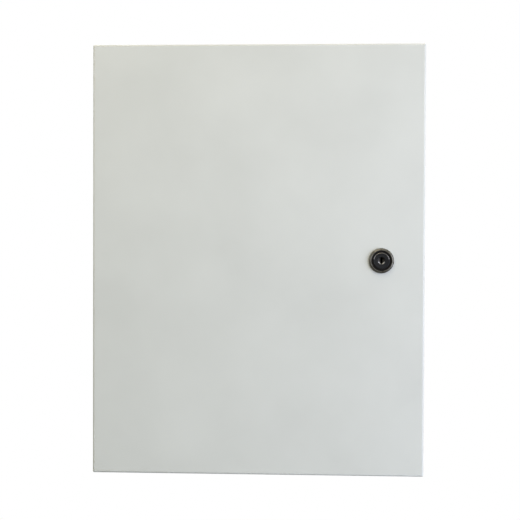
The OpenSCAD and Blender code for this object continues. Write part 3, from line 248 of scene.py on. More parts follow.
def surface(name, tones, roughness, grain, cloud=40.0, metallic=0.0, stretch=(1, 1, 1), coat=0.0,
            specular=0.5):
    """A finish: two tones and two roughnesses that drift into each other, and a fine grain (size, depth) in mm.
    A second tone that is a single number is the share of the first tone's light."""
    first = srgb(*tones[0])
    second = (*(part * tones[1] for part in first[:3]), 1) if isinstance(tones[1], float) else srgb(*tones[1])
    finish = bpy.data.materials.new(name)
    finish.use_nodes = True
    tree = finish.node_tree
    shader = tree.nodes["Principled BSDF"]
    skin = add_node(tree, "ShaderNodeGroup", {"node_tree": surface_skin}, Cloud_size=cloud, Grain_size=grain[0],
                    Stretch=stretch)
    soft = add_node(tree, "ShaderNodeMapRange", Value=skin.outputs["Cloud"], From_Min=0.3, From_Max=0.7)
    tree.links.new(mix_colours(tree, soft.outputs[0], first, second), shader.inputs["Base Color"])
    rough = add_node(tree, "ShaderNodeMapRange", Value=skin.outputs["Cloud"], From_Min=0.3, From_Max=0.7,
                     To_Min=roughness[0], To_Max=roughness[1])
    tree.links.new(rough.outputs[0], shader.inputs["Roughness"])
    bump = add_node(tree, "ShaderNodeBump", Strength=1.0, Distance=grain[1] / per_mm, Height=skin.outputs["Grain"])
    tree.links.new(bump.outputs[0], shader.inputs["Normal"])
    shader.inputs["Metallic"].default_value = metallic
    shader.inputs["Coat Weight"].default_value = coat
    shader.inputs["Specular IOR Level"].default_value = specular
    return finish


def cad_copy(node):
    """A node's mesh in millimetres, joined up, with the flat triangles beside each other made one face."""
    mesh = bmesh.new()
    mesh.from_mesh(frame["nodes"][node].data)
    bmesh.ops.scale(mesh, vec=(per_mm, per_mm, per_mm), verts=mesh.verts)
    bmesh.ops.remove_doubles(mesh, verts=mesh.verts, dist=0.002)
    bmesh.ops.dissolve_limit(mesh, angle_limit=math.radians(0.5), use_dissolve_boundaries=False,
                             verts=mesh.verts, edges=mesh.edges, delimit=set())
    return mesh


def round_off(mesh, edges, width, segments):
    """Rounds edges by a radius in millimetres."""
    bmesh.ops.bevel(mesh, geom=edges, offset=width, offset_type="OFFSET", segments=segments, profile=0.5,
                    affect="EDGES", clamp_overlap=True, material=-1)


def ease_edges(mesh, width, segments=2, edges=None):
    """Rounds the sharp edges, which are those that turn by more than 40 degrees."""
    sharp = [e for e in (edges or mesh.edges) if e.is_manifold and e.calc_face_angle() > math.radians(40)]
    round_off(mesh, sharp, width, segments)


def make_piece(name, mesh, finishes, *nodes, slot=True, smooth=35, weighted=True):
    """The finished piece from a mesh in millimetres, in place of its nodes. It rides on its first node's body, or
    on the cabinet. The slot argument is not used."""
    bmesh.ops.scale(mesh, vec=(1 / per_mm, 1 / per_mm, 1 / per_mm), verts=mesh.verts)
    data = bpy.data.meshes.new(name)
    mesh.to_mesh(data)
    mesh.free()
    for old in ("custom_normal", "sharp_face", "sharp_edge"):
        if old in data.attributes:
            data.attributes.remove(data.attributes[old])
    for finish in finishes if isinstance(finishes, (list, tuple)) else [finishes]:
        data.materials.append(finish)
    data.shade_smooth()
    data.set_sharp_from_angle(angle=math.radians(smooth))
    made = bpy.data.objects.new(name, data)
    scene.collection.objects.link(made)
    if weighted:
        modifier = made.modifiers.new("even_flats", "WEIGHTED_NORMAL")
        modifier.keep_sharp = True
    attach(made, frame["nodes"][nodes[0]]["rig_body"] if nodes else "cabinet")
    if nodes:
        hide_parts(*nodes)
    return made


def dress(node, finish, edge, segments=2):
    """A node's own shape with its edges eased, in its finish."""
    mesh = cad_copy(node)
    ease_edges(mesh, edge, segments)
    return make_piece(node + "_finished", mesh, finish, node)


powder_coat = surface("powder_coat", ((205, 207, 202), (211, 213, 208)), (0.42, 0.50), (1.6, 0.012), cloud=90)
dress("back_box", powder_coat, 0.3)
dress("battery_stop", powder_coat, 0.3)


# ---- Door -------------------------------------------------------------------------------------------------
# Pan of the same sheet, folded on its four edges and notched at the left for the two hinges. Same coat.
dress("door_panel", powder_coat, 0.3)


# ---- Hinges -----------------------------------------------------------------------------------------------
# Concealed hinges of zinc-plated steel: a leaf on the box's shoulder, a leaf inside the door, and a pin with
# a domed head dropped through their knuckles.
def node_box(node):
    """Lowest and highest corner of a node at rest, in millimetres."""
    first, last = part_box(node)
    return first * per_mm, last * per_mm


def block(x, y, z, edge=0.0, segments=2):
    """A box between two ends on each axis, with eased edges."""
    part = bmesh.new()
    bmesh.ops.create_cube(part, size=1)
    bmesh.ops.scale(part, vec=(x[1] - x[0], y[1] - y[0], z[1] - z[0]), verts=part.verts)
    bmesh.ops.translate(part, vec=((x[0] + x[1]) / 2, (y[0] + y[1]) / 2, (z[0] + z[1]) / 2), verts=part.verts)
    if edge:
        ease_edges(part, edge, segments)
    return part


def middle_block(half_x, half_y, z, edge=0.0, segments=2):
    """A box that reaches as far to either side of the Z axis on X, and on Y."""
    return block((-half_x, half_x), (-half_y, half_y), z, edge, segments)


def turned(profile, steps=48, close=False):
    """A body turned about its own Z from pairs of radius and height; close joins the last pair to the first."""
    part = bmesh.new()
    points = [part.verts.new((radius, 0, height)) for radius, height in profile]
    edges = [part.edges.new(pair) for pair in zip(points, points[1:])]
    if close:
        edges.append(part.edges.new((points[-1], points[0])))
    bmesh.ops.spin(part, geom=points + edges, cent=(0, 0, 0), axis=(0, 0, 1), dvec=(0, 0, 0),
                   angle=math.tau, steps=steps, use_merge=True)
    bmesh.ops.remove_doubles(part, verts=part.verts, dist=0.0005)
    bmesh.ops.recalc_face_normals(part, faces=part.faces)
    return part


def stamp(mesh, part, places=(Matrix(),), finish=None):
    """Puts a copy of a part into a mesh at each place, and lets the part go."""
    data = bpy.data.meshes.new("stamp")
    part.to_mesh(data)
    part.free()
    for place in places:
        first_vert, first_face = len(mesh.verts), len(mesh.faces)
        mesh.from_mesh(data)
        mesh.verts.ensure_lookup_table()
        mesh.faces.ensure_lookup_table()
        bmesh.ops.transform(mesh, matrix=place, verts=mesh.verts[first_vert:])
        if finish is not None:
            for face in mesh.faces[first_face:]:
                face.material_index = finish
    bpy.data.meshes.remove(data)


zinc = surface("zinc_plate", ((168, 171, 172), (190, 192, 194)), (0.26, 0.40), (0.35, 0.004), cloud=9,
               metallic=1.0)
dress("hinge_brackets", zinc, 0.25)
dress("door_hinge_leaves", zinc, 0.25)

pin_low, pin_high = node_box("hinge_pins")
pin_radius = 2.0
pin_head = (pin_high.x - pin_low.x) / 2
pin_length = 39.6
pin_steel = surface("pin_steel", ((150, 150, 148), (176, 176, 174)), (0.18, 0.30), (0.3, 0.003), cloud=6,
                    metallic=1.0)
pins = bmesh.new()
hinge_axis = ((pin_low.x + pin_high.x) / 2, (pin_low.y + pin_high.y) / 2)
pin_profile = [(0, 0), (pin_radius - 0.5, 0), (pin_radius, 0.6), (pin_radius, pin_length - 1.5),
               (pin_head - 0.1, pin_length - 1.5), (pin_head, pin_length - 1.3), (pin_head * 0.85, pin_length - 0.5),
               (pin_head * 0.5, pin_length - 0.12), (0, pin_length)]
pin_tops = (pin_high.z, pin_low.z + pin_length)
stamp(pins, turned(pin_profile, 32),
      [Matrix.Translation((*hinge_axis, top - pin_length)) for top in pin_tops])
make_piece("hinge_pins_finished", pins, pin_steel, "hinge_pins", slot="zinc")


# ---- Door seal --------------------------------------------------------------------------------------------
# Four self-adhesive strips of black sponge rubber, butted at the corners, with their front edges rounded.
seal_low, seal_high = node_box("door_seal")
seal_width = 9.0
seal_soft_edge = 2.2
seal_joint = 0.15
sponge = surface("sponge_rubber", ((26, 26, 27), (38, 38, 39)), (0.85, 0.95), (0.55, 0.12), cloud=14)
seal = bmesh.new()
seal_y = (seal_low.y, seal_high.y)


def seal_strip(x, z):
    """One strip: flat against the door, round towards the box."""
    part = block(x, seal_y, z)
    free = [e for e in part.edges if all(abs(v.co.y - seal_y[1]) < 0.01 for v in e.verts)]
    round_off(part, free, seal_soft_edge, 5)
    return part


for side in (0, 1):
    z_end = (seal_low.z, seal_low.z + seal_width) if side == 0 else (seal_high.z - seal_width, seal_high.z)
    x_end = (seal_low.x, seal_low.x + seal_width) if side == 0 else (seal_high.x - seal_width, seal_high.x)
    stamp(seal, seal_strip((seal_low.x, seal_high.x), z_end))
    stamp(seal, seal_strip(x_end, (seal_low.z + seal_width + seal_joint, seal_high.z - seal_width - seal_joint)))
make_piece("door_seal_finished", seal, sponge, "door_seal", smooth=50)


# ---- Lock body --------------------------------------------------------------------------------------------
# Die-cast bezel and threaded barrel in one, plated dark, with a dished middle, a small witness notch in its rim
# and two flats along the barrel. The dish is dark, partly its own black coat and partly painted shade, and a band of
# painted shade reaches up the lower inner rim. A zinc-plated nut holds it from inside.
def carve(part, cutter):
    """The part with the cutter's shape taken out of it."""
    holders = []
    for mesh in (part, cutter):
        bmesh.ops.recalc_face_normals(mesh, faces=mesh.faces)
        data = bpy.data.meshes.new("carving")
        mesh.to_mesh(data)
        mesh.free()
        holders.append(bpy.data.objects.new("carving", data))
        scene.collection.objects.link(holders[-1])
    cut = holders[0].modifiers.new("cut", "BOOLEAN")
    cut.operation = "DIFFERENCE"
    cut.solver = "EXACT"
    cut.object = holders[1]
    bpy.context.view_layer.update()
    result = bmesh.new()
    result.from_mesh(holders[0].evaluated_get(bpy.context.evaluated_depsgraph_get()).to_mesh())
    for holder in holders:
        data = holder.data
        bpy.data.objects.remove(holder)
        bpy.data.meshes.remove(data)
    return result


def facing_out(x, y, z):
    """A place on a vertical face: local X right, Y up and Z out of the face, towards the front."""
    return Matrix.Translation((x, y, z)) @ Matrix.Rotation(math.radians(90), 4, "X")


def on_face(low, high, face_y):
    """The middle of a box, on a face at face_y that looks forward."""
    return facing_out((low.x + high.x) / 2, face_y, (low.z + high.z) / 2)


barrel_low, barrel_high = node_box("lock_barrel")
door_front_y = node_box("door_panel")[0].y
lock_place = on_face(barrel_low, barrel_high, door_front_y)
bezel_radius = (barrel_high.x - barrel_low.x) / 2
bezel_height = door_front_y - barrel_low.y
barrel_end = door_front_y - barrel_high.y
barrel_radius = 9.4
barrel_flats = 16.2
barrel_bore = 7.18
dish_radius = 10.75
dish_floor = 1.0
thread_pitch = 1.5
thread_depth = 0.55
thread = []
thread_z = -1.6
while thread_z - thread_pitch > barrel_end:
    thread += [(barrel_radius, thread_z), (barrel_radius - thread_depth, thread_z - thread_pitch / 2)]
    thread_z -= thread_pitch
bezel_profile = [(barrel_bore, dish_floor), (dish_radius - 0.4, dish_floor), (dish_radius, dish_floor + 0.3),
                 (dish_radius, bezel_height - 0.4), (dish_radius + 0.08, bezel_height - 0.16),
                 (dish_radius + 0.25, bezel_height - 0.03), (dish_radius + 0.4, bezel_height),
                 (bezel_radius - 1.6, bezel_height), (bezel_radius - 1.1, bezel_height * 0.93),
                 (bezel_radius - 0.65, bezel_height * 0.8), (bezel_radius - 0.3, bezel_height * 0.65),
                 (bezel_radius - 0.08, bezel_height * 0.48), (bezel_radius, bezel_height * 0.3), (bezel_radius, 0),
                 (barrel_radius, 0), *thread,
                 (barrel_radius - 0.3, barrel_end), (barrel_bore, barrel_end)]
lock_body = turned(bezel_profile, 96, close=True)
lock_cuts = bmesh.new()
for side in (-1, 1):
    flat = sorted((side * barrel_flats / 2, side * (barrel_radius + 2)))
    stamp(lock_cuts, block(flat, (-12, 12), (barrel_end - 1, -0.01)))
stamp(lock_cuts, block((-0.7, 0.7), (dish_radius - 0.6, dish_radius + 1.1), (bezel_height - 1.1, bezel_height + 1)),
      [Matrix.Rotation(math.radians(-32), 4, "Z")])
lock_body = carve(lock_body, lock_cuts)
# Faces in the dish and on its inner rim get the dark finish: partly the dish's own black coat, partly painted shade;
# on the lower side the painted shade reaches further up the rim.
for face in lock_body.faces:
    middle = face.calc_center_median()
    painted_shade_reach = dish_radius + (0.05 if middle.y > 3 else 0.3)
    face.material_index = int(math.hypot(middle.x, middle.y) < painted_shade_reach and middle.z > 0.5)
bmesh.ops.transform(lock_body, matrix=lock_place, verts=lock_body.verts)
dark_plate = surface("dark_plate", ((84, 82, 75), (112, 109, 100)), (0.24, 0.36), (0.5, 0.006), cloud=3,
                     metallic=1.0)
dish_dark_and_painted_shade = surface("dish_dark_and_painted_shade", ((12, 10, 9), (22, 16, 13)), (0.35, 0.45), (0.4, 0.004), cloud=4,
                       specular=0.18)
make_piece("lock_barrel_finished", lock_body, [dark_plate, dish_dark_and_painted_shade], "lock_barrel")
dress("lock_nut", zinc, 0.3)


# ---- Lock plug --------------------------------------------------------------------------------------------
# The part that the key turns: a black lacquered plug whose upper rim carries a painted highlight in bright metal and
# whose key slot is lined with painted shade, a dark dished guide pressed in round the key slot with two painted
# highlight arcs on its lower side, and behind the door a zinc-plated cam held by a screw.
plug_radius = 7.1
plug_head_radius = 8.65
plug_front = door_front_y - node_box("lock_plug")[0].y
guide_low, guide_high = node_box("key_guide")
guide_radius = (guide_high.x - guide_low.x) / 2
guide_floor = door_front_y - guide_high.y
key_slot_x = (-1.15, 1.15)
key_slot_y = (-3.15, 3.55)
key_slot_end = plug_front - 12
tang_half = 3.5
cam_back = door_front_y - node_box("lock_cam")[1].y
plug = turned([(0, barrel_end), (plug_radius, barrel_end), (plug_radius, dish_floor + 0.1),
               (plug_head_radius - 0.1, dish_floor + 0.1), (plug_head_radius, dish_floor + 0.2),
               (plug_head_radius, plug_front - 0.45), (plug_head_radius - 0.12, plug_front - 0.15),
               (plug_head_radius - 0.45, plug_front), (plug_head_radius - 0.8, plug_front - 0.12),
               (guide_radius + 0.5, plug_front - 0.12), (guide_radius + 0.05, plug_front - 0.3),
               (guide_radius + 0.05, guide_floor), (0, guide_floor)], 96)
plug = carve(plug, block(key_slot_x, key_slot_y, (key_slot_end, plug_front + 2), 0.3))
# Faces on the upper arc of the head's rim get bright metal: a painted highlight.
for face in plug.faces:
    middle = face.calc_center_median()
    highlit = middle.z > plug_front - 0.4 and middle.y > plug_head_radius * 0.2
    inside = abs(middle.x) < key_slot_x[1] + 0.01 and key_slot_end - 0.1 < middle.z < guide_floor - 0.01
    face.material_index = (1 if highlit and math.hypot(middle.x, middle.y) > plug_head_radius - 0.75 else
                           2 if inside and middle.y < key_slot_y[1] + 0.01 else 0)
stamp(plug, middle_block(tang_half, tang_half, (cam_back, barrel_end - 0.001), 0.4))
bmesh.ops.transform(plug, matrix=lock_place, verts=plug.verts)
plug_lacquer = surface("plug_lacquer", ((14, 15, 17), (24, 25, 27)), (0.32, 0.44), (0.3, 0.004), cloud=5,
                       specular=0.22)
rim_painted_highlight = surface("rim_painted_highlight", ((92, 90, 86), (128, 125, 120)), (0.22, 0.34), (0.3, 0.004), cloud=2.5,
                     metallic=1.0)
# Near-black finish for the faces inside the key slot: painted shade.
slot_painted_shade = surface("slot_painted_shade", ((3, 3, 3), (7, 6, 6)), (0.5, 0.6), (0.3, 0.004), cloud=5, specular=0.1)
make_piece("lock_plug_finished", plug, [plug_lacquer, rim_painted_highlight, slot_painted_shade], "lock_plug")

guide = turned([(0, guide_floor + 0.02), (guide_radius, guide_floor + 0.02), (guide_radius, plug_front - 0.4),
                (guide_radius - 0.12, plug_front - 0.28), (guide_radius - 0.35, plug_front - 0.3),
                (guide_radius - 0.7, plug_front - 0.5), (guide_radius - 1.2, plug_front - 0.74),
                (guide_radius - 1.8, plug_front - 0.92), (0, plug_front - 0.95)], 64)
guide = carve(guide, block(key_slot_x, key_slot_y, (0, 4), 0.3))
# Two arcs on the dish's lower side get bright nickel: painted highlights. The rest of the guide is dull dark metal.
highlight_arcs = ((205, 264), (278, 345))
for face in guide.faces:
    middle = face.calc_center_median()
    round_at = math.degrees(math.atan2(middle.y, middle.x)) % 360
    reach = math.hypot(middle.x, middle.y)
    highlit = any(first < round_at < last for first, last in highlight_arcs)
    face.material_index = int(highlit and guide_radius - 1.35 < reach and middle.z > guide_floor + 0.2)
bmesh.ops.transform(guide, matrix=lock_place, verts=guide.verts)
guide_dull = surface("guide_dull", ((36, 34, 32), (54, 52, 48)), (0.26, 0.36), (0.3, 0.003), cloud=2,
                     metallic=1.0)
guide_painted_highlight = surface("guide_painted_highlight", ((120, 118, 114), (150, 148, 143)), (0.24, 0.32), (0.3, 0.003),
                       cloud=2, metallic=1.0)
make_piece("key_guide_finished", guide, [guide_dull, guide_painted_highlight], "key_guide")
dress("lock_cam", zinc, 0.3)


def cross_recess(part, half_length, half_width, heights):
    """The screw with a cross cut into its head."""
    for x, y in ((half_length, half_width), (half_width, half_length)):
        part = carve(part, middle_block(x, y, heights))
    return part


screw_low, screw_high = node_box("cam_screw")
cam_screw_head = (screw_high.x - screw_low.x) / 2
cam_screw_end = door_front_y - screw_high.y
cam_screw = turned([(0, cam_screw_end), (cam_screw_head - 1.4, cam_screw_end + 0.05),
                    (cam_screw_head - 0.5, cam_screw_end + 0.5), (cam_screw_head, cam_screw_end + 1.3),
                    (cam_screw_head, cam_screw_end + 2.3), (2.0, cam_screw_end + 2.3), (2.0, cam_screw_end + 8),
                    (0, cam_screw_end + 8)], 40)
cam_screw = cross_recess(cam_screw, 2.3, 0.45, (cam_screw_end - 1, cam_screw_end + 1.5))
bmesh.ops.transform(cam_screw, matrix=lock_place, verts=cam_screw.verts)
make_piece("cam_screw_finished", cam_screw, zinc, "cam_screw")


# ---- Earth bonding ----------------------------------------------------------------------------------------
# A collared stud on the box's left wall and one on the door, each with a tinned ring lug under a nut, and the
# green and yellow lead that crosses the hinge between their crimps with a loop to spare.
def smooth_route(route, steps):
    """Points of a smooth curve through a route."""
    points = [Vector(p) for p in route]
    made = []
    for i in range(len(points) - 1):
        a, b, c, d = (points[max(i - 1, 0)], points[i], points[i + 1], points[min(i + 2, len(points) - 1)])
        for k in range(steps):
            t = k / steps
            made.append(0.5 * (2 * b + (c - a) * t + (2 * a - 5 * b + 4 * c - d) * t * t
                               + (3 * b - a - 3 * c + d) * t ** 3))
    return made + [points[-1]]


def lead_mesh(mesh, route, diameter, sides=16, steps=6):
    """A round lead along a route. Its 'side' layer holds the direction round the lead and the length along it."""
    points = smooth_route(route, steps)
    layer = mesh.verts.layers.float_vector.get("side") or mesh.verts.layers.float_vector.new("side")
    turn, last_edges, travelled = Matrix(), None, 0.0
    heading = Vector((0, 0, 1))
    for i, point in enumerate(points):
        ahead = (points[min(i + 1, len(points) - 1)] - points[max(i - 1, 0)]).normalized()
        turn = heading.rotation_difference(ahead).to_matrix().to_4x4() @ turn
        heading = ahead
        travelled += (point - points[i - 1]).length if i else 0
        capped = i in (0, len(points) - 1)
        ring = bmesh.ops.create_circle(mesh, cap_ends=capped, segments=sides, radius=diameter / 2,
                                       matrix=Matrix.Translation(point) @ turn)["verts"]
        for k, vert in enumerate(ring):
            local = turn.to_3x3().transposed() @ (vert.co - point) / (diameter / 2)
            vert[layer] = (local.x, local.y, travelled)
        inside = set(ring)
        edges = [e for v in ring for e in v.link_edges if e.verts[0] in inside and e.verts[1] in inside]
        edges = list(set(edges))
        if last_edges:
            bmesh.ops.bridge_loops(mesh, edges=last_edges + edges)
        last_edges = edges
    bmesh.ops.recalc_face_normals(mesh, faces=mesh.faces)


def insulation(name, colour, stripe=None):
    """Glossy soft insulation; a striped one has its second colour along one side of the lead."""
    finish = surface(name, (colour, 0.82), (0.32, 0.42), (0.8, 0.01), cloud=8)
    if stripe:
        tree = finish.node_tree
        side = add_node(tree, "ShaderNodeAttribute", {"attribute_name": "side"})
        across = add_node(tree, "ShaderNodeSeparateXYZ", Vector=side.outputs["Vector"])
        band = add_node(tree, "ShaderNodeMapRange", Value=across.outputs["X"], From_Min=-0.12, From_Max=0.12)
        shader = tree.nodes["Principled BSDF"]
        base = shader.inputs["Base Color"].links[0].from_socket
        tree.links.new(mix_colours(tree, band.outputs[0], base, srgb(*stripe)), shader.inputs["Base Color"])
    return finish


lead_diameter = 2.6
earth_route = [[-172.8, -58, -50], [-172.8, -58, -57], [-170, -60, -67], [-162, -65, -74], [-154, -73, -76],
               [-149, -83, -71], [-144, -93, -61], [-141, -101, -49], [-140, -105.3, -38], [-140, -105.3, -31]]
earth_insulation = insulation("earth_insulation", (54, 128, 44), (222, 205, 40))
earth_lead = bmesh.new()
lead_mesh(earth_lead, earth_route, lead_diameter, steps=8)
earth_piece = make_piece("door_earth_lead_finished", earth_lead, earth_insulation, "door_earth_lead", weighted=False)
earth_piece.parent = None
del earth_piece["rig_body"]
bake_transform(earth_piece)

tinned = surface("tinned_copper", ((178, 176, 170), (200, 198, 192)), (0.28, 0.42), (0.3, 0.004), cloud=4,
                 metallic=1.0)
dress("box_earth_point", tinned, 0.2)
dress("door_earth_point", tinned, 0.2)


# ---- Chassis ----------------------------------------------------------------------------------------------
# Galvanised sheet with two folded sides, held on four studs that are welded to the back of the box through
# short spacers. The zinc shows its crystal flowers.
def galvanised_sheet():
    """Hot-dip zinc: each crystal has its own tone and gloss."""
    finish = bpy.data.materials.new("galvanised_sheet")
    finish.use_nodes = True
    tree = finish.node_tree
    shader = tree.nodes["Principled BSDF"]
    place = add_node(tree, "ShaderNodeTexCoord")
    bend = add_node(tree, "ShaderNodeTexNoise", Vector=place.outputs["Object"], Scale=90.0, Detail=2.0)
    warped = add_node(tree, "ShaderNodeVectorMath", {"operation": "MULTIPLY_ADD"}, i0=bend.outputs["Color"],
                      i1=(0.004, 0.004, 0.004), i2=place.outputs["Object"])
    crystal = add_node(tree, "ShaderNodeTexVoronoi", Vector=warped.outputs[0], Scale=110.0)
    tone = add_node(tree, "ShaderNodeSeparateColor", Color=crystal.outputs["Color"])
    tree.links.new(mix_colours(tree, tone.outputs[0], srgb(150, 154, 157), srgb(194, 198, 200)),
                   shader.inputs["Base Color"])
    gloss = add_node(tree, "ShaderNodeMapRange", Value=tone.outputs[1], To_Min=0.36, To_Max=0.56)
    tree.links.new(gloss.outputs[0], shader.inputs["Roughness"])
    bump = add_node(tree, "ShaderNodeBump", Strength=0.4, Distance=0.00002, Height=crystal.outputs["Distance"])
    tree.links.new(bump.outputs[0], shader.inputs["Normal"])
    shader.inputs["Metallic"].default_value = 1.0
    return finish


dress("chassis_plate", galvanised_sheet(), 0.25)
dress("chassis_studs", zinc, 0.2)
dress("chassis_nuts", zinc, 0.3)


# ---- Circuit boards ---------------------------------------------------------------------------------------
# Glass-fibre laminate under green solder mask, with copper tracks and tinned holes, white printed outlines
# round the parts, and bare laminate at the cut edges.
def solids(node):
    """Lowest and highest corner, in millimetres, of each separate solid of a node, from the bottom left."""
    mesh = cad_copy(node)
    waiting, boxes = set(mesh.verts), []
    while waiting:
        stack = [waiting.pop()]
        points = []
        while stack:
            vert = stack.pop()
            points.append(vert.co.copy())
            for edge in vert.link_edges:
                other = edge.other_vert(vert)
                if other in waiting:
                    waiting.discard(other)
                    stack.append(other)
        boxes.append((Vector(map(min, zip(*points))), Vector(map(max, zip(*points)))))
    mesh.free()
    return sorted(boxes, key=lambda b: (round(b[0].z), round(b[0].x, 1), b[0].y))


def solder_mask():
    """Green mask over copper: parallel tracks that change direction from patch to patch, and tinned holes."""
    finish = surface("solder_mask", ((14, 74, 42), (20, 84, 50)), (0.28, 0.38), (1.2, 0.004), cloud=30)
    tree = finish.node_tree
    shader = tree.nodes["Principled BSDF"]
    pitch_mm = 2.2
    track_share = 0.36
    hole_radius = 0.075
    place = add_node(tree, "ShaderNodeTexCoord")
    grid = add_node(tree, "ShaderNodeVectorMath", {"operation": "SCALE"}, i0=place.outputs["Object"],
                    Scale=per_mm / pitch_mm)
    patch = add_node(tree, "ShaderNodeTexVoronoi", {"distance": "CHEBYCHEV"}, Vector=place.outputs["Object"],
                     Scale=62.0)
    patch_parts = add_node(tree, "ShaderNodeSeparateColor", Color=patch.outputs["Color"])
    across = add_node(tree, "ShaderNodeSeparateXYZ", Vector=grid.outputs[0])
    lines = []
    for axis in ("X", "Z"):
        step = work_out(tree, "FRACT", across.outputs[axis])
        lines.append(work_out(tree, "LESS_THAN", step, track_share))
    turned_patch = work_out(tree, "GREATER_THAN", patch_parts.outputs[0], 0.5)
    track = add_node(tree, "ShaderNodeMix", {"data_type": "FLOAT"}, i0=turned_patch, i2=lines[0], i3=lines[1])
    filled = work_out(tree, "GREATER_THAN", patch_parts.outputs[1], 0.6)
    copper = work_out(tree, "MAXIMUM", track.outputs[0], filled)
    base = shader.inputs["Base Color"].links[0].from_socket
    over_copper = mix_colours(tree, copper, base, srgb(38, 112, 66))
    cell = add_node(tree, "ShaderNodeTexVoronoi", Vector=place.outputs["Object"], Scale=170.0, Randomness=0.75)
    hole = work_out(tree, "LESS_THAN", cell.outputs["Distance"], hole_radius)
    tree.links.new(mix_colours(tree, hole, over_copper, srgb(196, 190, 170)), shader.inputs["Base Color"])
    height = add_node(tree, "ShaderNodeBump", Strength=1.0, Distance=0.00004, Height=copper)
    tree.links.new(height.outputs[0], shader.inputs["Normal"])
    shader.inputs["Coat Weight"].default_value = 0.25
    return finish


mask_green = solder_mask()
laminate = surface("laminate_edge", ((150, 142, 84), (166, 158, 98)), (0.6, 0.7), (0.3, 0.01), cloud=5)
for board_node in ("main_board", "operator_board", "zone_card"):
    board = cad_copy(board_node)
    for face in board.faces:
        face.material_index = int(abs(face.normal.y) < 0.5)
    ease_edges(board, 0.12)
    make_piece(board_node + "_finished", board, [mask_green, laminate], board_node, slot="board_green")

main_low, main_high = node_box("main_board")
card_low, card_high = node_box("zone_card")
board_front = main_low.y
print_line = 0.28
print_height = 0.06
printed = bmesh.new()


def print_box(mesh, x, z, front):
    """A printed outline on a face that looks forward."""
    for part_x, part_z in (((x[0], x[1]), (z[0], z[0] + print_line)), ((x[0], x[1]), (z[1] - print_line, z[1])),
                           ((x[0], x[0] + print_line), z), ((x[1] - print_line, x[1]), z)):
        stamp(mesh, block(part_x, (front - print_height, front), part_z))


for outlined, margin in (("relays", 1.0), ("chips", 2.2), ("terminal_blocks", 0.6), ("sounder", 0.8)):
    for first, last in solids(outlined):
        lowest = (card_low.z if last.z < 0 else main_low.z) + 0.3
        print_box(printed, (first.x - margin, last.x + margin), (max(first.z - margin, lowest), last.z + margin),
                  board_front)
print_ink = surface("print_ink", ((222, 224, 220), (232, 233, 230)), (0.55, 0.65), (0.3, 0.004), cloud=8)
make_piece("board_print", printed, print_ink, smooth=20, weighted=False)


# ---- Fixings ----------------------------------------------------------------------------------------------
# Hexagonal brass standoffs under the boards, longer posts to the operator panel, and pan-head screws with a
# cross recess that hold the boards and the fascia.
turned_brass = surface("turned_brass", ((186, 156, 88), (206, 178, 108)), (0.26, 0.38), (0.3, 0.004), cloud=5,
                       metallic=1.0)
dress("board_standoffs", turned_brass, 0.3)
dress("panel_posts", turned_brass, 0.3)


def pan_head(radius, height, shank_radius, shank):
    """A pan-head screw with a cross recess, seated at height 0."""
    part = turned([(0, -shank), (shank_radius, -shank), (shank_radius, 0), (radius, 0), (radius, height * 0.4),
                   (radius * 0.93, height * 0.66), (radius * 0.7, height * 0.9), (radius * 0.4, height), (0, height)],
                  24)
    return cross_recess(part, radius * 0.62, radius * 0.16, (height * 0.4, height + 1))


screws = bmesh.new()
screw_places = [((a.x + b.x) / 2, a.y + 2, (a.z + b.z) / 2) for a, b in solids("machine_screws")]
stamp(screws, pan_head(2.85, 1.9, 1.5, 6), [facing_out(*p) for p in screw_places])
make_piece("machine_screws_finished", screws, zinc, "machine_screws")

fixing_pads = bmesh.new()
stamp(fixing_pads, turned([(1.7, 0), (3.7, 0), (3.7, 0.06), (1.7, 0.06)], 32, close=True),
      [facing_out(p[0], board_front, p[2]) for p in screw_places if p[1] > board_front - 4])
make_piece("fixing_pads", fixing_pads, tinned, weighted=False)


# ---- Field terminals --------------------------------------------------------------------------------------
# Green moulded rising-clamp blocks, seven poles each: a wire mouth below and a slotted screw in front of every
# pole, a tinned cage inside, and a thin strip of painted shade for the groove between neighbours.
terminal_green = surface("terminal_green", ((30, 118, 62), (40, 130, 72)), (0.38, 0.48), (0.5, 0.01), cloud=12)
dress("terminal_blocks", terminal_green, 0.25)
dress("terminal_screws", zinc, 0.12, 1)
cages = bmesh.new()
cage_half, cage_wall = 1.5, 0.28
cage_front = board_front - 5.9
pole_screws = solids("terminal_screws")
for first, last in pole_screws:
    middle = (first.x + last.x) / 2
    cage_z = ((first.z + last.z) / 2 - 4.4, (first.z + last.z) / 2 + 2.9)
    for side in (-1, 1):
        x = sorted((middle + side * (cage_half + cage_wall), middle + side * cage_half))
        stamp(cages, block(x, (cage_front, board_front - 2.1), cage_z))
    stamp(cages, block((middle - cage_half, middle + cage_half), (cage_front, cage_front + 0.5), cage_z))
make_piece("terminal_cages", cages, tinned, weighted=False)
# Thin dark green strips laid on the blocks' fronts between the poles: painted shade for the grooves.
groove_shade_strips = bmesh.new()
block_slope = 1.7
pole_pitch = 5.08
for first, last in solids("terminal_blocks"):
    poles = round((last.x - first.x) / pole_pitch)
    for k in range(1, poles):
        x = first.x + (last.x - first.x) * k / poles
        stamp(groove_shade_strips, block((x - 0.16, x + 0.16), (first.y - 0.05, first.y + 0.02),
                                  (first.z + block_slope, last.z - block_slope)))
groove_shadow = surface("groove_shadow", ((8, 46, 22), (12, 52, 26)), (0.8, 0.9), (0.5, 0.01), cloud=12)
make_piece("terminal_groove_shade", groove_shade_strips, groove_shadow, weighted=False)


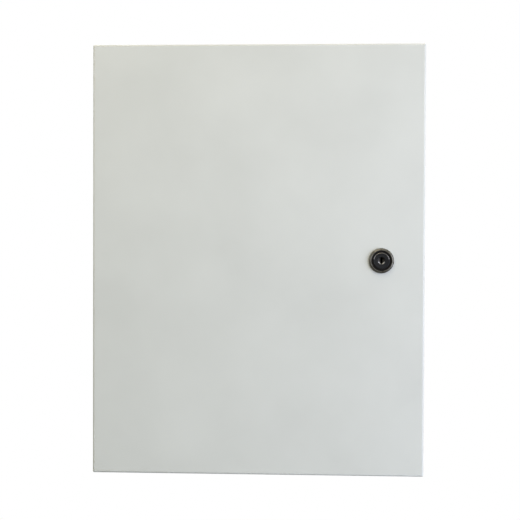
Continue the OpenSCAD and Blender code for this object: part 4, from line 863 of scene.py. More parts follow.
# ---- Parts on the boards ----------------------------------------------------------------------------------
# Relays in blue cases, electrolytic capacitors in shrunk sleeves with a scored vent, moulded chips on gull-wing
# legs, a black finned heat sink, four glass fuses in spring clips and a round sounder.
relay_blue = surface("relay_blue", ((28, 62, 140), (36, 72, 152)), (0.30, 0.40), (0.6, 0.01), cloud=10)
relay_pip = 0.2
relays = bmesh.new()
for first, last in solids("relays"):
    height = last.y - first.y - relay_pip
    half = ((last.x - first.x) / 2, (last.z - first.z) / 2)
    case = middle_block(half[0], half[1], (0.4, height), 0.6, 3)
    case = carve(case, middle_block(half[0] - 1.3, half[1] - 1.3, (height - 0.25, height + 1), 0.2))
    stamp(case, turned([(0, height - 0.3), (1.1, height - 0.3), (1.1, height + relay_pip * 0.6),
                        (0.8, height + relay_pip), (0, height + relay_pip)], 20),
          [Matrix.Translation((half[0] - 3.6, half[1] - 3.6, 0))])
    stamp(relays, case, [on_face(first, last, board_front)])
make_piece("relays_finished", relays, relay_blue, "relays")

sleeve_dark = surface("capacitor_sleeve", ((22, 26, 48), (30, 35, 60)), (0.22, 0.32), (0.6, 0.01), cloud=10)
sleeve_stripe = surface("capacitor_stripe", ((168, 170, 172), (180, 182, 184)), (0.3, 0.4), (0.6, 0.01))
can_top = surface("bare_aluminium", ((196, 197, 198), (212, 213, 214)), (0.25, 0.36), (0.3, 0.004), cloud=4,
                  metallic=1.0)
cans = bmesh.new()
for first, last in solids("capacitors"):
    r, h = (last.x - first.x) / 2, last.y - first.y
    can = turned([(0, 0), (r - 0.4, 0), (r, 0.6), (r, 2.2), (r - 0.2, 2.6), (r - 0.5, 3.0), (r - 0.2, 3.4), (r, 3.8),
                  (r, h - 0.9), (r - 0.25, h - 0.35), (r - 0.8, h), (r - 1.3, h - 0.02), (r - 1.45, h - 0.25),
                  (0, h - 0.25)], 48)
    for turn in (0, 60, 120):
        cutter = middle_block(r * 0.62, 0.12, (h - 0.5, h))
        bmesh.ops.rotate(cutter, cent=(0, 0, 0), matrix=Matrix.Rotation(math.radians(turn), 3, "Z"),
                         verts=cutter.verts)
        can = carve(can, cutter)
    for face in can.faces:
        middle = face.calc_center_median()
        reach = math.hypot(middle.x, middle.y)
        if reach < r - 1.2 and middle.z > h - 1:
            face.material_index = 2
        elif middle.x < -r * 0.86 and 4 < middle.z < h - 0.5:
            face.material_index = 1
        else:
            face.material_index = 0
    stamp(cans, can, [on_face(first, last, board_front)])
make_piece("capacitors_finished", cans, [sleeve_dark, sleeve_stripe, can_top], "capacitors")

chip_black = surface("chip_moulding", ((30, 30, 31), (40, 40, 42)), (0.55, 0.65), (0.35, 0.012), cloud=8)
chips, legs = bmesh.new(), bmesh.new()
for first, last in solids("chips"):
    half = ((last.x - first.x) / 2, (last.z - first.z) / 2)
    height = last.y - first.y
    middle = on_face(first, last, board_front)
    case = middle_block(half[0], half[1], (0.35, height))
    top = [v for v in case.verts if v.co.z > height - 0.01]
    bmesh.ops.scale(case, vec=(1 - 0.4 / half[0], 1 - 0.4 / half[1], 1), verts=top)
    ease_edges(case, 0.15, 1)
    case = carve(case, turned([(0, height - 0.15), (0.7, height - 0.15), (0.7, height + 1), (0, height + 1)], 16))
    stamp(chips, case, [middle])
    square = abs(half[0] - half[1]) < 1
    pitch = 1.0 if square else 1.6
    for turn in ((0, 90, 180, 270) if square else ((90, 270) if half[1] > half[0] else (0, 180))):
        along, out = (half[0], half[1]) if turn in (0, 180) else (half[1], half[0])
        count = int((2 * along - 1.4) / pitch)
        leg = block((-0.2, 0.2), (out - 0.1, out + 0.6), (height * 0.42, height * 0.42 + 0.18))
        stamp(leg, block((-0.2, 0.2), (out + 0.45, out + 0.62), (0.05, height * 0.42 + 0.18)))
        stamp(leg, block((-0.2, 0.2), (out + 0.45, out + 1.35), (0.02, 0.2)))
        stamp(legs, leg, [middle @ Matrix.Rotation(math.radians(turn), 4, "Z")
                          @ Matrix.Translation(((k - (count - 1) / 2) * pitch, 0, 0)) for k in range(count)])
make_piece("chips_finished", chips, chip_black, "chips")
make_piece("chip_legs", legs, tinned, weighted=False)

black_anodised = surface("black_anodised", ((34, 34, 36), (46, 46, 48)), (0.38, 0.48), (0.4, 0.006), cloud=14,
                         metallic=0.6)
dress("heat_sink", black_anodised, 0.2)
clip_bronze = surface("clip_bronze", ((188, 180, 158), (206, 198, 176)), (0.25, 0.36), (0.3, 0.004), cloud=4,
                      metallic=1.0)
dress("fuse_clips", clip_bronze, 0.12, 1)

fuse_caps, fuse_tubes, fuse_wires = bmesh.new(), bmesh.new(), bmesh.new()
fuse_glass = bpy.data.materials.new("fuse_glass")
fuse_glass.use_nodes = True
glass_shader = fuse_glass.node_tree.nodes["Principled BSDF"]
glass_shader.inputs["Base Color"].default_value = (0.94, 0.97, 0.96, 1)
glass_shader.inputs["Roughness"].default_value = 0.04
glass_shader.inputs["Transmission Weight"].default_value = 1.0
glass_shader.inputs["IOR"].default_value = 1.45
for first, last in solids("glass_fuses"):
    r, length = (last.z - first.z) / 2, last.x - first.x
    place = (Matrix.Translation((first.x, (first.y + last.y) / 2, (first.z + last.z) / 2))
             @ Matrix.Rotation(math.radians(90), 4, "Y"))
    cap = turned([(0, 0), (r - 0.3, 0), (r, 0.3), (r, 4.6), (r - 0.15, 4.9), (r - 0.25, 5), (0, 5)], 28)
    stamp(fuse_caps, cap, [place, place @ Matrix.Translation((0, 0, length)) @ Matrix.Rotation(math.pi, 4, "X")])
    stamp(fuse_tubes, turned([(r - 0.3, 4.8), (r - 0.3, length - 4.8), (r - 0.9, length - 4.8), (r - 0.9, 4.8)], 28,
                             close=True), [place])
    stamp(fuse_wires, turned([(0, 4.5), (0.12, 4.5), (0.12, length - 4.5), (0, length - 4.5)], 8), [place])
make_piece("fuse_caps", fuse_caps, tinned, "glass_fuses")
make_piece("fuse_tubes", fuse_tubes, fuse_glass, "glass_fuses")
make_piece("fuse_wires", fuse_wires, tinned)

black_moulding = surface("black_moulding", ((27, 27, 29), (36, 36, 38)), (0.42, 0.52), (0.45, 0.012), cloud=14)
sound_low, sound_high = node_box("sounder")
sound_r, sound_h = (sound_high.x - sound_low.x) / 2, sound_high.y - sound_low.y
sounder = turned([(0, 0), (sound_r - 0.3, 0), (sound_r, 0.3), (sound_r, sound_h - 1.4), (sound_r - 0.4, sound_h - 1),
                  (sound_r - 1.4, sound_h - 0.95), (sound_r - 1.5, sound_h - 0.3), (sound_r - 1.9, sound_h),
                  (2.6, sound_h), (2.3, sound_h - 0.5), (1.4, sound_h - 0.55), (1.4, 3.5), (0, 3.5)], 64)
bmesh.ops.transform(sounder, matrix=on_face(sound_low, sound_high, board_front), verts=sounder.verts)
make_piece("sounder_finished", sounder, black_moulding, "sounder")


# ---- Small parts ------------------------------------------------------------------------------------------
# Surface-mounted resistors and capacitors in rows by the chips, a diode behind each field pole with a suppressor
# above it on the main board, crystals, pin headers and a block of setting switches.
ceramic_tan = surface("ceramic_tan", ((150, 118, 78), (168, 136, 94)), (0.4, 0.5), (0.3, 0.01), cloud=3)
resistor_black = surface("resistor_black", ((22, 22, 24), (34, 34, 36)), (0.4, 0.5), (0.3, 0.01), cloud=3)
suppressor_blue = surface("suppressor_blue", ((26, 84, 150), (36, 98, 168)), (0.3, 0.4), (0.5, 0.02), cloud=6)
chip_resistors, chip_capacitors, suppressors = bmesh.new(), bmesh.new(), bmesh.new()
metal_ends = bmesh.new()
lay_out = random.Random(7)
row_pitch = 3.2
quarter_turn = Matrix.Rotation(math.radians(90), 4, "Z")


def small_part(place, size, body_mesh):
    """A chip part: its body between two tinned ends, along local X."""
    long, wide, high = size
    stamp(body_mesh, middle_block(long / 2 - 0.35, wide / 2, (0.05, high), 0.06, 1), [place])
    for side in (-1, 1):
        x = sorted((side * long / 2, side * (long / 2 - 0.4)))
        stamp(metal_ends, block(x, (-wide / 2 - 0.04, wide / 2 + 0.04), (0, high + 0.05), 0.06, 1), [place])


for first, last in solids("chips"):
    x, z = (first.x, last.x), (first.z, last.z)
    count = int((x[1] - x[0] + 8) / row_pitch)
    for row_z in (z[0] - 5.2, z[1] + 4.4):
        for k in range(count):
            if lay_out.random() < 0.2:
                continue
            px = (x[0] + x[1]) / 2 + (k - (count - 1) / 2) * row_pitch
            part = lay_out.choice((chip_resistors, chip_capacitors))
            small_part(facing_out(px, board_front, row_z) @ quarter_turn, (2.0, 1.25, 0.7), part)
for first, last in pole_screws:
    px, pz = (first.x + last.x) / 2, last.z + 5.2
    place = facing_out(px, board_front, pz)
    small_part(place @ quarter_turn, (3.2, 1.7, 1.0), chip_resistors)
    if first.z > 0:
        stamp(suppressors, turned([(0, 0.6), (1.3, 0.6), (1.9, 1.1), (2.05, 2.6), (2.0, 4.6), (1.6, 5.4), (0.8, 5.8),
                                   (0, 5.9)], 20), [place @ Matrix.Translation((0, 4.4, 0))])
make_piece("chip_resistors", chip_resistors, resistor_black, weighted=False)
make_piece("chip_capacitors", chip_capacitors, ceramic_tan, weighted=False)
make_piece("part_ends", metal_ends, tinned, weighted=False)
make_piece("line_suppressors", suppressors, suppressor_blue)

crystals = bmesh.new()
crystal_x, crystal_z = (50, 132), 50
crystal_half = (5.2, 2.2)
crystal = middle_block(crystal_half[0], crystal_half[1], (0.3, 3.6), 1.0, 4)
stamp(crystals, crystal, [facing_out(main_low.x + x, board_front, main_low.z + crystal_z) for x in crystal_x])
make_piece("crystals", crystals, can_top)

setting_x, setting_z = main_high.x - 60, main_low.z + 24
settings = middle_block(11, 5, (0, 6), 0.4, 2)
settings = carve(settings, middle_block(9.5, 2, (5.2, 8), 0.2))
bmesh.ops.transform(settings, matrix=facing_out(setting_x, board_front, setting_z), verts=settings.verts)
switch_red = surface("switch_red", ((160, 24, 22), (176, 34, 30)), (0.34, 0.44), (0.5, 0.01), cloud=9)
make_piece("setting_switches", settings, switch_red)
levers = bmesh.new()
lever_count, lever_pitch, lever_throw = 8, 2.4, 1.6
stamp(levers, block((-0.7, 0.7), (-1.7, 0.1), (5.0, 6.6), 0.2, 1),
      [facing_out(setting_x, board_front, setting_z)
       @ Matrix.Translation(((k - (lever_count - 1) / 2) * lever_pitch, (k % 3 == 0) * lever_throw, 0))
       for k in range(lever_count)])
make_piece("setting_levers", levers, print_ink)

headers, header_pins = bmesh.new(), bmesh.new()
header_pitch = 2.54
for hx, hz, count in ((main_high.x - 36, main_low.z + 22, 5), (main_high.x - 14, main_low.z + 22, 6),
                      (card_low.x + 20, card_high.z - 9, 4), (card_high.x - 20, card_high.z - 9, 4)):
    place = facing_out(hx, board_front, hz)
    for k in range(count):
        at = place @ Matrix.Translation(((k - (count - 1) / 2) * header_pitch, 0, 0))
        stamp(headers, middle_block(1.2, 1.25, (0, 2.5), 0.3, 1), [at])
        stamp(header_pins, middle_block(0.32, 0.32, (2.3, 8.2), 0.15, 1), [at])
make_piece("pin_headers", headers, black_moulding, weighted=False)
make_piece("header_pins", header_pins, clip_bronze, weighted=False)


# ---- Operator panel ---------------------------------------------------------------------------------------
# Dark grey fascia with fine printed rules, plain figures beside its lamps and keys, and windows for the display,
# lamps and push buttons. The switches stand on the board behind it.
fascia_coat = surface("fascia_coat", ((62, 66, 72), (70, 74, 80)), (0.46, 0.54), (0.5, 0.012), cloud=40)
dress("operator_fascia", fascia_coat, 0.2)
dress("button_switches", black_moulding, 0.15, 1)
panel_low, panel_high = node_box("operator_fascia")
panel_front = panel_low.y


def figures(mesh, text, x, z, front, height, thickness=0.05):
    """Plain printed figures, centred at a place on a face that looks forward."""
    curve = bpy.data.curves.new("figures", "FONT")
    curve.body = text
    curve.size = height / 0.7
    curve.align_x = "CENTER"
    curve.align_y = "CENTER"
    curve.extrude = thickness / 2
    curve.resolution_u = 3
    holder = bpy.data.objects.new("figures", curve)
    scene.collection.objects.link(holder)
    bpy.context.view_layer.update()
    data = bpy.data.meshes.new_from_object(holder.evaluated_get(bpy.context.evaluated_depsgraph_get()))
    bpy.data.objects.remove(holder)
    bpy.data.curves.remove(curve)
    part = bmesh.new()
    part.from_mesh(data)
    bpy.data.meshes.remove(data)
    bmesh.ops.remove_doubles(part, verts=part.verts, dist=0.0005)
    stamp(mesh, part, [facing_out(x, front - thickness / 2, z)])


lamp_boxes = solids("status_lamps")
lamp_columns = sorted({round((a.x + b.x) / 2, 1) for a, b in lamp_boxes if b.x - a.x > 3})
lamp_z = sum(((a.z + b.z) / 2) for a, b in lamp_boxes) / len(lamp_boxes)
display_low, display_high = node_box("display_glass")
keypad_low, keypad_high = node_box("keypad")
button_boxes = [node_box(name + "_button") for name in ("acknowledge", "silence", "reset", "test")]
fascia_print = bmesh.new()
print_box(fascia_print, (lamp_columns[0] - 6, lamp_columns[-1] + 6), (lamp_z - 12, lamp_z + 6), panel_front)
print_box(fascia_print, (button_boxes[0][0].x - 5, button_boxes[-1][1].x + 5),
          (button_boxes[0][0].z - 4, button_boxes[0][1].z + 4), panel_front)
print_box(fascia_print, (display_low.x - 5, display_high.x + 5), (display_low.z - 5, display_high.z + 5), panel_front)
for k, column in enumerate(lamp_columns):
    figures(fascia_print, str(k + 1), column, lamp_z - 7.5, panel_front, 3.0)
make_piece("fascia_print", fascia_print, print_ink, smooth=20, weighted=False)

display_frame = surface("display_frame", ((24, 24, 26), (32, 32, 34)), (0.42, 0.5), (0.4, 0.008), cloud=12)
dress("display_module", display_frame, 0.25)


def display_pane():
    """Back-lit display: rows of faint character cells under a clear top."""
    finish = surface("display_pane", ((150, 182, 72), (160, 192, 80)), (0.12, 0.16), (5.0, 0.001), cloud=30,
                     coat=1.0)
    tree = finish.node_tree
    shader = tree.nodes["Principled BSDF"]
    place = add_node(tree, "ShaderNodeTexCoord")
    cells = add_node(tree, "ShaderNodeVectorMath", {"operation": "MULTIPLY"}, i0=place.outputs["Object"],
                     i1=(per_mm / 3.3, 0, per_mm / 5.6))
    step = add_node(tree, "ShaderNodeVectorMath", {"operation": "FRACTION"}, i0=cells.outputs[0])
    parts = add_node(tree, "ShaderNodeSeparateXYZ", Vector=step.outputs[0])
    inside = []
    for axis, edge in (("X", 0.16), ("Z", 0.12)):
        distance = work_out(tree, "PINGPONG", parts.outputs[axis], 0.5)
        inside.append(work_out(tree, "GREATER_THAN", distance, edge / 2))
    cell = work_out(tree, "MULTIPLY", *inside)
    base = shader.inputs["Base Color"].links[0].from_socket
    tree.links.new(mix_colours(tree, cell, base, srgb(138, 168, 62)), shader.inputs["Base Color"])
    return finish


pane = block((display_low.x, display_high.x), (display_low.y, display_high.y), (display_low.z, display_high.z), 0.2)
make_piece("display_glass_finished", pane, display_pane(), "display_glass")
shown_figures = bmesh.new()
for text, share in (("12:45   1 2 3 4 5 6", 0.71), ("00 00 00   7 8 9 0", 0.29)):
    figures(shown_figures, text, (display_low.x + display_high.x) / 2,
            display_low.z + (display_high.z - display_low.z) * share, display_low.y, 4.4, 0.03)
figure_ink = surface("display_figures", ((24, 34, 16), (30, 42, 20)), (0.2, 0.3), (0.5, 0.002), cloud=10)
make_piece("display_figures", shown_figures, figure_ink, smooth=20, weighted=False)


def lens(name, colour, glow=0.0):
    """Tinted clear lamp lens; a lit one glows."""
    finish = surface(name, (colour, 0.8), (0.12, 0.2), (0.8, 0.003), cloud=4, coat=1.0)
    shader = finish.node_tree.nodes["Principled BSDF"]
    shader.inputs["Transmission Weight"].default_value = 0.25
    shader.inputs["Emission Color"].default_value = srgb(*colour)
    shader.inputs["Emission Strength"].default_value = glow
    return finish


lens_colours = {"green": lens("lens_green", (40, 200, 70), 1.2), "amber": lens("lens_amber", (214, 140, 24)),
                "red": lens("lens_red", (190, 26, 22))}
lamp_kinds = ["green", "amber", "amber", "red", "red", "red", "red", "red"]
lamp_back = max(b[1].y for b in lamp_boxes)
fascia_back = panel_high.y
for kind in ("green", "amber", "red"):
    lamps = bmesh.new()
    r = 2.5
    for column, lamp_kind in zip(lamp_columns, lamp_kinds):
        if lamp_kind == kind:
            dome = [(r * math.cos(a), r * math.sin(a)) for a in (math.radians(9 * k) for k in range(0, 11))]
            reach = panel_front - 0.2 - fascia_back
            lamp = turned([(0, reach - 4.2), (r + 0.4, reach - 4.2), (r + 0.4, reach - 3.0), (r, reach - 3.0),
                           *dome[:-1], (0, r)], 32)
            stamp(lamps, lamp, [facing_out(column, panel_front - 0.2, lamp_z)])
    make_piece("status_lamps_" + kind, lamps, lens_colours[kind], "status_lamps",
               slot="lamp_red" if kind == "red" else None)
lamp_legs = bmesh.new()
for column in lamp_columns:
    for side in (-0.9, 0.9):
        stamp(lamp_legs, block((column + side - 0.25, column + side + 0.25), (fascia_back + 4, lamp_back),
                               (lamp_z - 0.25, lamp_z + 0.25)))
make_piece("status_lamp_legs", lamp_legs, tinned, weighted=False)


# ---- Push buttons -----------------------------------------------------------------------------------------
# Four moulded caps with a dished top, a retaining flange and a stem: one amber, three light grey.
button_finishes = {"acknowledge": surface("button_amber", ((214, 152, 30), (224, 164, 42)), (0.4, 0.5),
                                          (0.5, 0.012), cloud=8)}
button_grey = surface("button_grey", ((176, 179, 181), (188, 191, 193)), (0.4, 0.5), (0.5, 0.012), cloud=8)
for name in ("acknowledge", "silence", "reset", "test"):
    cap = cad_copy(name + "_button")
    ease_edges(cap, 0.5, 3)
    front = min(v.co.y for v in cap.verts)
    top = [f for f in cap.faces if f.normal.y < -0.9 and f.calc_center_median().y < front + 0.05]
    rim = bmesh.ops.inset_region(cap, faces=top, thickness=1.2, depth=0.0)
    dish = [f for f in cap.faces if f.normal.y < -0.9 and f.calc_center_median().y < front + 0.05
            and f not in set(rim["faces"])]
    bmesh.ops.translate(cap, vec=(0, 0.45, 0), verts=list({v for f in dish for v in f.verts}))
    make_piece(name + "_button_finished", cap, button_finishes.get(name, button_grey), name + "_button",
               slot="button_yellow" if name == "acknowledge" else "button_grey")


# ---- Keypad -----------------------------------------------------------------------------------------------
# Membrane keypad: a polyester film stuck on the fascia, with twelve domed keys and plain figures.
def rounded_plate(x, z, y, corner, edge=0.0, segments=2):
    """A plate across X and Z with round corners and an eased front edge."""
    part = block(x, y, z)
    upright = [e for e in part.edges if abs(e.verts[0].co.y - e.verts[1].co.y) > 0.5 * (y[1] - y[0])]
    round_off(part, upright, corner, 6)
    if edge:
        rim = [e for e in part.edges if all(abs(v.co.y - y[0]) < 0.001 for v in e.verts)]
        ease_edges(part, edge, segments, edges=rim)
    return part


film = surface("keypad_film", ((206, 209, 210), (214, 217, 218)), (0.38, 0.46), (0.6, 0.008), cloud=20)
key_tone = surface("key_print", ((228, 230, 231), (236, 238, 239)), (0.34, 0.42), (0.6, 0.006), cloud=10)
key_dark = surface("key_function", ((92, 104, 122), (100, 112, 130)), (0.34, 0.42), (0.6, 0.006), cloud=10)
keypad_x, keypad_z = (keypad_low.x + keypad_high.x) / 2, (keypad_low.z + keypad_high.z) / 2
key_step = (14, 15)
key_half = 5.5
keys = bmesh.new()
stamp(keys, rounded_plate((keypad_low.x, keypad_high.x), (keypad_low.z, keypad_high.z),
                          (keypad_high.y - 0.8, keypad_high.y), 2, 0.2), finish=0)
key_figures = bmesh.new()
for k, figure in enumerate("123456789*0#"):
    x = keypad_x + (k % 3 - 1) * key_step[0]
    z = keypad_z + (1.5 - k // 3) * key_step[1]
    stamp(keys, rounded_plate((x - key_half, x + key_half), (z - key_half, z + key_half),
                              (keypad_low.y, keypad_high.y - 0.5), 1.6, 0.45, 3), finish=2 if figure in "*#" else 1)
    figures(key_figures, figure, x, z - (0.9 if figure == "*" else 0), keypad_low.y, 5.2)
make_piece("keypad_finished", keys, [film, key_tone, key_dark], "keypad")
make_piece("key_figures", key_figures, chip_black, smooth=20, weighted=False)


# ---- Ribbon cable -----------------------------------------------------------------------------------------
# Twenty-six grey conductors side by side, the first one red, in two half turns between the sockets.
ribbon_low, ribbon_high = node_box("ribbon_cable")
sockets = solids("ribbon_sockets")
dress("ribbon_sockets", black_moulding, 0.3)
wires = 26
wire_pitch = (ribbon_high.x - ribbon_low.x) / wires
ribbon_radius = 5.0
ribbon = bmesh.new()
upper = max(sockets, key=lambda s: s[0].z)
lower = min(sockets, key=lambda s: s[0].z)
upper_z, lower_z = (upper[0].z + upper[1].z) / 2, (lower[0].z + lower[1].z) / 2
start_y, end_y = upper[1].y, lower[0].y
middle_y = (start_y + end_y) / 2
steps_round = 6


def onward(edges, shift=None, centre=None, angle=0.0):
    """The wire's open end, drawn on in a straight line or round a centre."""
    if shift:
        made = bmesh.ops.extrude_edge_only(ribbon, edges=edges)["geom"]
        verts = [g for g in made if isinstance(g, bmesh.types.BMVert)]
        bmesh.ops.translate(ribbon, vec=shift, verts=verts)
        return [g for g in made if isinstance(g, bmesh.types.BMEdge) and all(v in verts for v in g.verts)]
    points = list({v for e in edges for v in e.verts})
    made = bmesh.ops.spin(ribbon, geom=edges + points, cent=centre, axis=(1, 0, 0), dvec=(0, 0, 0),
                          angle=angle, steps=steps_round, use_merge=False)["geom_last"]
    return [g for g in made if isinstance(g, bmesh.types.BMEdge)]


for k in range(wires):
    x = ribbon_low.x + (k + 0.5) * wire_pitch
    ring = bmesh.ops.create_circle(ribbon, cap_ends=False, segments=8, radius=wire_pitch * 0.53,
                                   matrix=Matrix.Translation((x, start_y, upper_z))
                                   @ Matrix.Rotation(math.radians(90), 4, "X"))["verts"]
    bmesh.ops.scale(ribbon, vec=(1, 1, 0.82), space=Matrix.Translation((0, 0, -upper_z)), verts=ring)
    edges = list({e for v in ring for e in v.link_edges})
    begin = len(ribbon.faces)
    edges = onward(edges, shift=(0, middle_y - ribbon_radius - start_y, 0))
    edges = onward(edges, centre=(0, middle_y - ribbon_radius, upper_z - ribbon_radius), angle=-math.pi / 2)
    edges = onward(edges, shift=(0, 0, lower_z + ribbon_radius - (upper_z - ribbon_radius)))
    edges = onward(edges, centre=(0, middle_y + ribbon_radius, lower_z + ribbon_radius), angle=math.pi / 2)
    onward(edges, shift=(0, end_y - (middle_y + ribbon_radius), 0))
    ribbon.faces.ensure_lookup_table()
    for face in ribbon.faces[begin:]:
        face.material_index = int(k == 0)
bmesh.ops.recalc_face_normals(ribbon, faces=ribbon.faces)
ribbon_grey = insulation("ribbon_grey", (158, 160, 162))
ribbon_red = insulation("ribbon_red", (168, 40, 36))
make_piece("ribbon_cable_finished", ribbon, [ribbon_grey, ribbon_red], "ribbon_cable", weighted=False)


# ---- Power supply -----------------------------------------------------------------------------------------
# Bare aluminium tray and perforated cover over a brown paper-laminate board with a taped transformer and
# reservoir capacitors, and a black barrier strip at the open end.
brushed = surface("brushed_aluminium", ((186, 188, 190), (204, 206, 208)), (0.34, 0.46), (0.5, 0.006),
                  cloud=10, metallic=1.0, stretch=(0.08, 1, 1))
dress("power_supply_case", brushed, 0.25)
dress("power_supply_cover", brushed, 0.15, 1)
supply_low, supply_high = node_box("power_supply_board")
case_low = node_box("power_supply_case")[0]
supply_back = supply_high.y
board_thickness = 1.6
supply_front = supply_back - board_thickness
supply_mid = (supply_low.z + supply_high.z) / 2
paper_board = surface("paper_laminate", ((120, 92, 44), (136, 106, 54)), (0.5, 0.6), (0.8, 0.01), cloud=18)
supply = bmesh.new()
stamp(supply, block((supply_low.x, supply_high.x), (supply_front, supply_back), (supply_low.z, supply_high.z), 0.15))
make_piece("power_supply_board_finished", supply, paper_board, "power_supply_board")
ferrite = surface("ferrite", ((36, 36, 38), (50, 50, 52)), (0.55, 0.7), (0.6, 0.02), cloud=6)
tape_yellow = surface("winding_tape", ((214, 184, 60), (226, 198, 78)), (0.35, 0.45), (1.5, 0.02), cloud=6)
core = bmesh.new()
at_core = facing_out(case_low.x + 67, supply_front, supply_mid)
for core_x, core_z in (((-17, 17), (-15, -8.5)), ((-17, 17), (8.5, 15)), ((-17, -11), (-9, 9)), ((11, 17), (-9, 9))):
    stamp(core, block(core_x, core_z, (2, 22), 0.5), [at_core])
make_piece("transformer_core", core, ferrite)
winding = bmesh.new()
stamp(winding, middle_block(10.5, 12, (0, 24), 2.5, 4), [at_core])
make_piece("transformer_winding", winding, tape_yellow)
reservoirs = bmesh.new()
large_can = [(0, 0), (8.6, 0), (9, 0.6), (9, 2.6), (8.6, 3), (9, 3.4), (9, 24.2), (8.4, 25), (7.7, 25), (7.5, 24.7),
             (0, 24.7)]
small_can = [(0, 0), (4.7, 0), (5, 0.5), (5, 1.8), (4.7, 2.2), (5, 2.6), (5, 19.4), (4.5, 20), (4, 20), (3.8, 19.8),
             (0, 19.8)]
for can_x, offsets, steps, profile in ((26, (-22, 22), 40, large_can), (98, (-14, 0, 14), 32, small_can)):
    for offset in offsets:
        can = turned(profile, steps)
        for face in can.faces:
            bare = face.calc_center_median().z > profile[-1][1] - 0.1 and face.normal.z > 0.5
            face.material_index = 2 if bare else 0
        stamp(reservoirs, can, [facing_out(case_low.x + can_x, supply_front, supply_mid + offset)])
make_piece("supply_capacitors", reservoirs, [sleeve_dark, sleeve_stripe, can_top])
dress("power_supply_terminals", black_moulding, 0.25)
strip_screws = bmesh.new()
strip_low, strip_high = node_box("power_supply_terminals")
strip_poles, strip_pitch = 7, 9.5
stamp(strip_screws, pan_head(3.2, 2.0, 1.6, 3),
      [facing_out(strip_low.x + 6, strip_high.y - 9, supply_mid + (k - 3) * strip_pitch) for k in range(strip_poles)])
make_piece("strip_screws", strip_screws, zinc)

nylon = surface("ivory_nylon", ((214, 208, 186), (224, 219, 198)), (0.42, 0.52), (0.6, 0.012), cloud=12)
mains_low, mains_high = node_box("mains_block")
mains_poles = 4
mains_step = (mains_high.z - mains_low.z) / mains_poles
mains_screw_x = (mains_low.x + 5.5, mains_high.x - 5.5)
mains_screw_z = [mains_low.z + (k + 0.5) * mains_step for k in range(mains_poles)]
mains = cad_copy("mains_block")
screw_faces = {face for face in mains.faces for x in mains_screw_x for z in mains_screw_z
               if -16.5 < face.calc_center_median().y - mains_high.y < -11
               and all(math.hypot(v.co.x - x, v.co.z - z) < 2.45 for v in face.verts)
               and (abs(face.normal.y) > 0.5 or face.calc_center_median().y < mains_high.y - 15)}
ease_edges(mains, 0.4, 3, edges=[e for e in mains.edges if e.calc_length() > 3
                                 and not screw_faces & set(e.link_faces)])
for face in mains.faces:
    face.material_index = int(face in screw_faces)
make_piece("mains_block_finished", mains, [nylon, zinc], "mains_block")


# ---- Batteries --------------------------------------------------------------------------------------------
# Two sealed batteries in dark grey cases, with a lid seam, a vent strip and tinned tabs in coloured collars, held
# by an angle on the floor. Insulated sockets are pushed over the tabs.
battery_case = surface("battery_case", ((52, 55, 60), (62, 65, 70)), (0.40, 0.52), (0.7, 0.03), cloud=30)
dress("battery_left", battery_case, 0.8, 3)
dress("battery_right", battery_case, 0.8, 3)
dress("battery_tabs", tinned, 0.1, 1)
red_nylon = surface("red_nylon", ((178, 30, 26), (192, 40, 34)), (0.36, 0.46), (0.6, 0.012), cloud=8)
tab_sets = {"red": bmesh.new(), "black": bmesh.new()}
battery_middle_y = sum(c.y for c in node_box("battery_left")) / 2
for first, last in solids("tab_sleeves"):
    x, y, z = (first.x, last.x), (first.y, last.y), (first.z, last.z)
    half = ((x[1] - x[0]) / 2, (y[1] - y[0]) / 2)
    boot = middle_block(half[0], half[1], (0, z[1] - z[0]), 0.8, 3)
    neck = [v for v in boot.verts if v.co.z > 13]
    bmesh.ops.scale(boot, vec=(0.55, 0.95, 1), verts=neck)
    kind = "red" if (y[0] + y[1]) / 2 < battery_middle_y else "black"
    stamp(tab_sets[kind], boot, [Matrix.Translation(((x[0] + x[1]) / 2, (y[0] + y[1]) / 2, z[0]))])
make_piece("tab_sleeves_red", tab_sets["red"], red_nylon, "tab_sleeves")
make_piece("tab_sleeves_black", tab_sets["black"], black_moulding, "tab_sleeves", slot="black_plastic")


# ---- Leads ------------------------------------------------------------------------------------------------
# Stranded leads in soft insulation: brown, blue and striped earth from the supply to the mains block, red and
# black to the first field terminals, and red, black and a grey link for the batteries.
brown = insulation("brown_insulation", (108, 62, 36))
blue = insulation("blue_insulation", (34, 74, 160))
red = insulation("red_insulation", (178, 28, 24))
black = insulation("black_insulation", (26, 26, 28))
grey = insulation("grey_insulation", (96, 100, 104))


def steps_from(place, *steps):
    """Points of a route, counted in steps from a place where the lead is fixed."""
    return [Vector(place) + Vector(step) for step in steps]


def sleeve_top(sleeve):
    """The middle of an insulated socket's top."""
    return ((sleeve[0].x + sleeve[1].x) / 2, (sleeve[0].y + sleeve[1].y) / 2, sleeve[1].z)


strip_pole = [(strip_low.x + 5, strip_low.y - 0.7, supply_mid + (k - 3) * strip_pitch) for k in range(strip_poles)]
mains_pole = [(mains_low.x + 2, mains_high.y - 9.3, z) for z in mains_screw_z]
main_blocks = [b[0].x for b in solids("terminal_blocks") if b[0].z > 0]
front_left, back_left, front_right, back_right = sorted(map(sleeve_top, solids("tab_sleeves")))


def wire_mouth(block_number, pole):
    """The mouth of a pole of the main board's blocks, numbered from the left."""
    return (main_blocks[block_number] + (pole + 0.5) * pole_pitch, board_front - 4, main_low.z + 2)


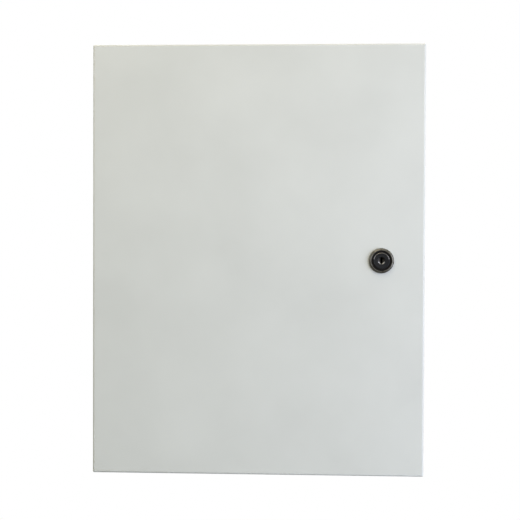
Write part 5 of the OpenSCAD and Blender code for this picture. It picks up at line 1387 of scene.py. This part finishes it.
mains_routes = [steps_from(strip_pole[k], (0, 0, 0.5), (1, -5, 0.5), (6, -7, -1.5), (10, -1, -2.5))
                + steps_from(mains_pole[k + 1], (-5.4, -5, 0), (-4, -1.4, 0), (-1.5, -0.1, 0), (0, 0.3, 0))
                for k in range(3)]
supply_routes = [
    steps_from(strip_pole[5], (0, 0, 0), (2, -5, 1), (8, -6, 6), (10, -3, 18))
    + steps_from(wire_mouth(2, 1), (8.2, -7.7, -26), (5.2, -6.7, -15), (0.2, -2.7, -8), (0, 0, 0)),
    steps_from(strip_pole[6], (0, 0, 0), (1, -6, 0.5), (7, -10, 5.5), (9.8, -8, 14.5))
    + steps_from(wire_mouth(2, 0), (12.2, -11.7, -22), (5.2, -7.7, -13), (0.2, -2.7, -7), (0, 0, 0))]
battery_routes = [
    steps_from(front_left, (0, 0.2, 0.1), (0, 0.2, 2), (0, 0.2, 6), (2, 11, 14), (4, 29, 28))
    + steps_from((case_low.x - 7, mains_high.y - 17.3, supply_mid), (0, 0, 3), (0, 0, 43))
    + steps_from(wire_mouth(0, 0), (-26.6, -4.7, -18), (-9.6, -4.7, -14), (-0.6, -1.7, -9), (0, 0, 0)),
    steps_from(back_right, (0, 0.2, 0.1), (0, 0.2, 2), (0, 0.2, 5), (10, -16, 8))
    + steps_from((mains_high.x + 4, mains_high.y - 19.3, mains_low.z), (-1, -10, 2), (0, -4, 20), (0, 0, 60))
    + steps_from(wire_mouth(2, 6), (18.8, -7.7, -24), (8.8, -7.7, -14), (0.8, -2.7, -9), (0, 0, 0)),
    steps_from(back_left, (0, 0.2, 0.1), (0, 0.2, 2), (0, 0.2, 4), (15, -16, 6), (55, -34, 0), (105, -36, -2))
    + steps_from(front_right, (-18, 2, 2), (-3, 0.2, 6), (0, 0.2, 4), (0, 0.2, 2), (0, 0.2, 0.1))]
for name, route, finish, slot, node in (
        ("mains_lead_earth", mains_routes[0], earth_insulation, "green_yellow", "mains_leads"),
        ("mains_lead_neutral", mains_routes[1], blue, "mains_lead", "mains_leads"),
        ("mains_lead_live", mains_routes[2], brown, "mains_lead", "mains_leads"),
        ("supply_lead_black", supply_routes[0], black, "supply_lead", "supply_leads"),
        ("supply_lead_red", supply_routes[1], red, "supply_lead", "supply_leads"),
        ("battery_lead_red", battery_routes[0], red, "supply_lead", "battery_leads"),
        ("battery_lead_black", battery_routes[1], black, "supply_lead", "battery_leads"),
        ("battery_link", battery_routes[2], grey, "supply_lead", "battery_leads")):
    lead = bmesh.new()
    lead_mesh(lead, route, lead_diameter, sides=12)
    make_piece(name, lead, finish, node, slot=slot, weighted=False)
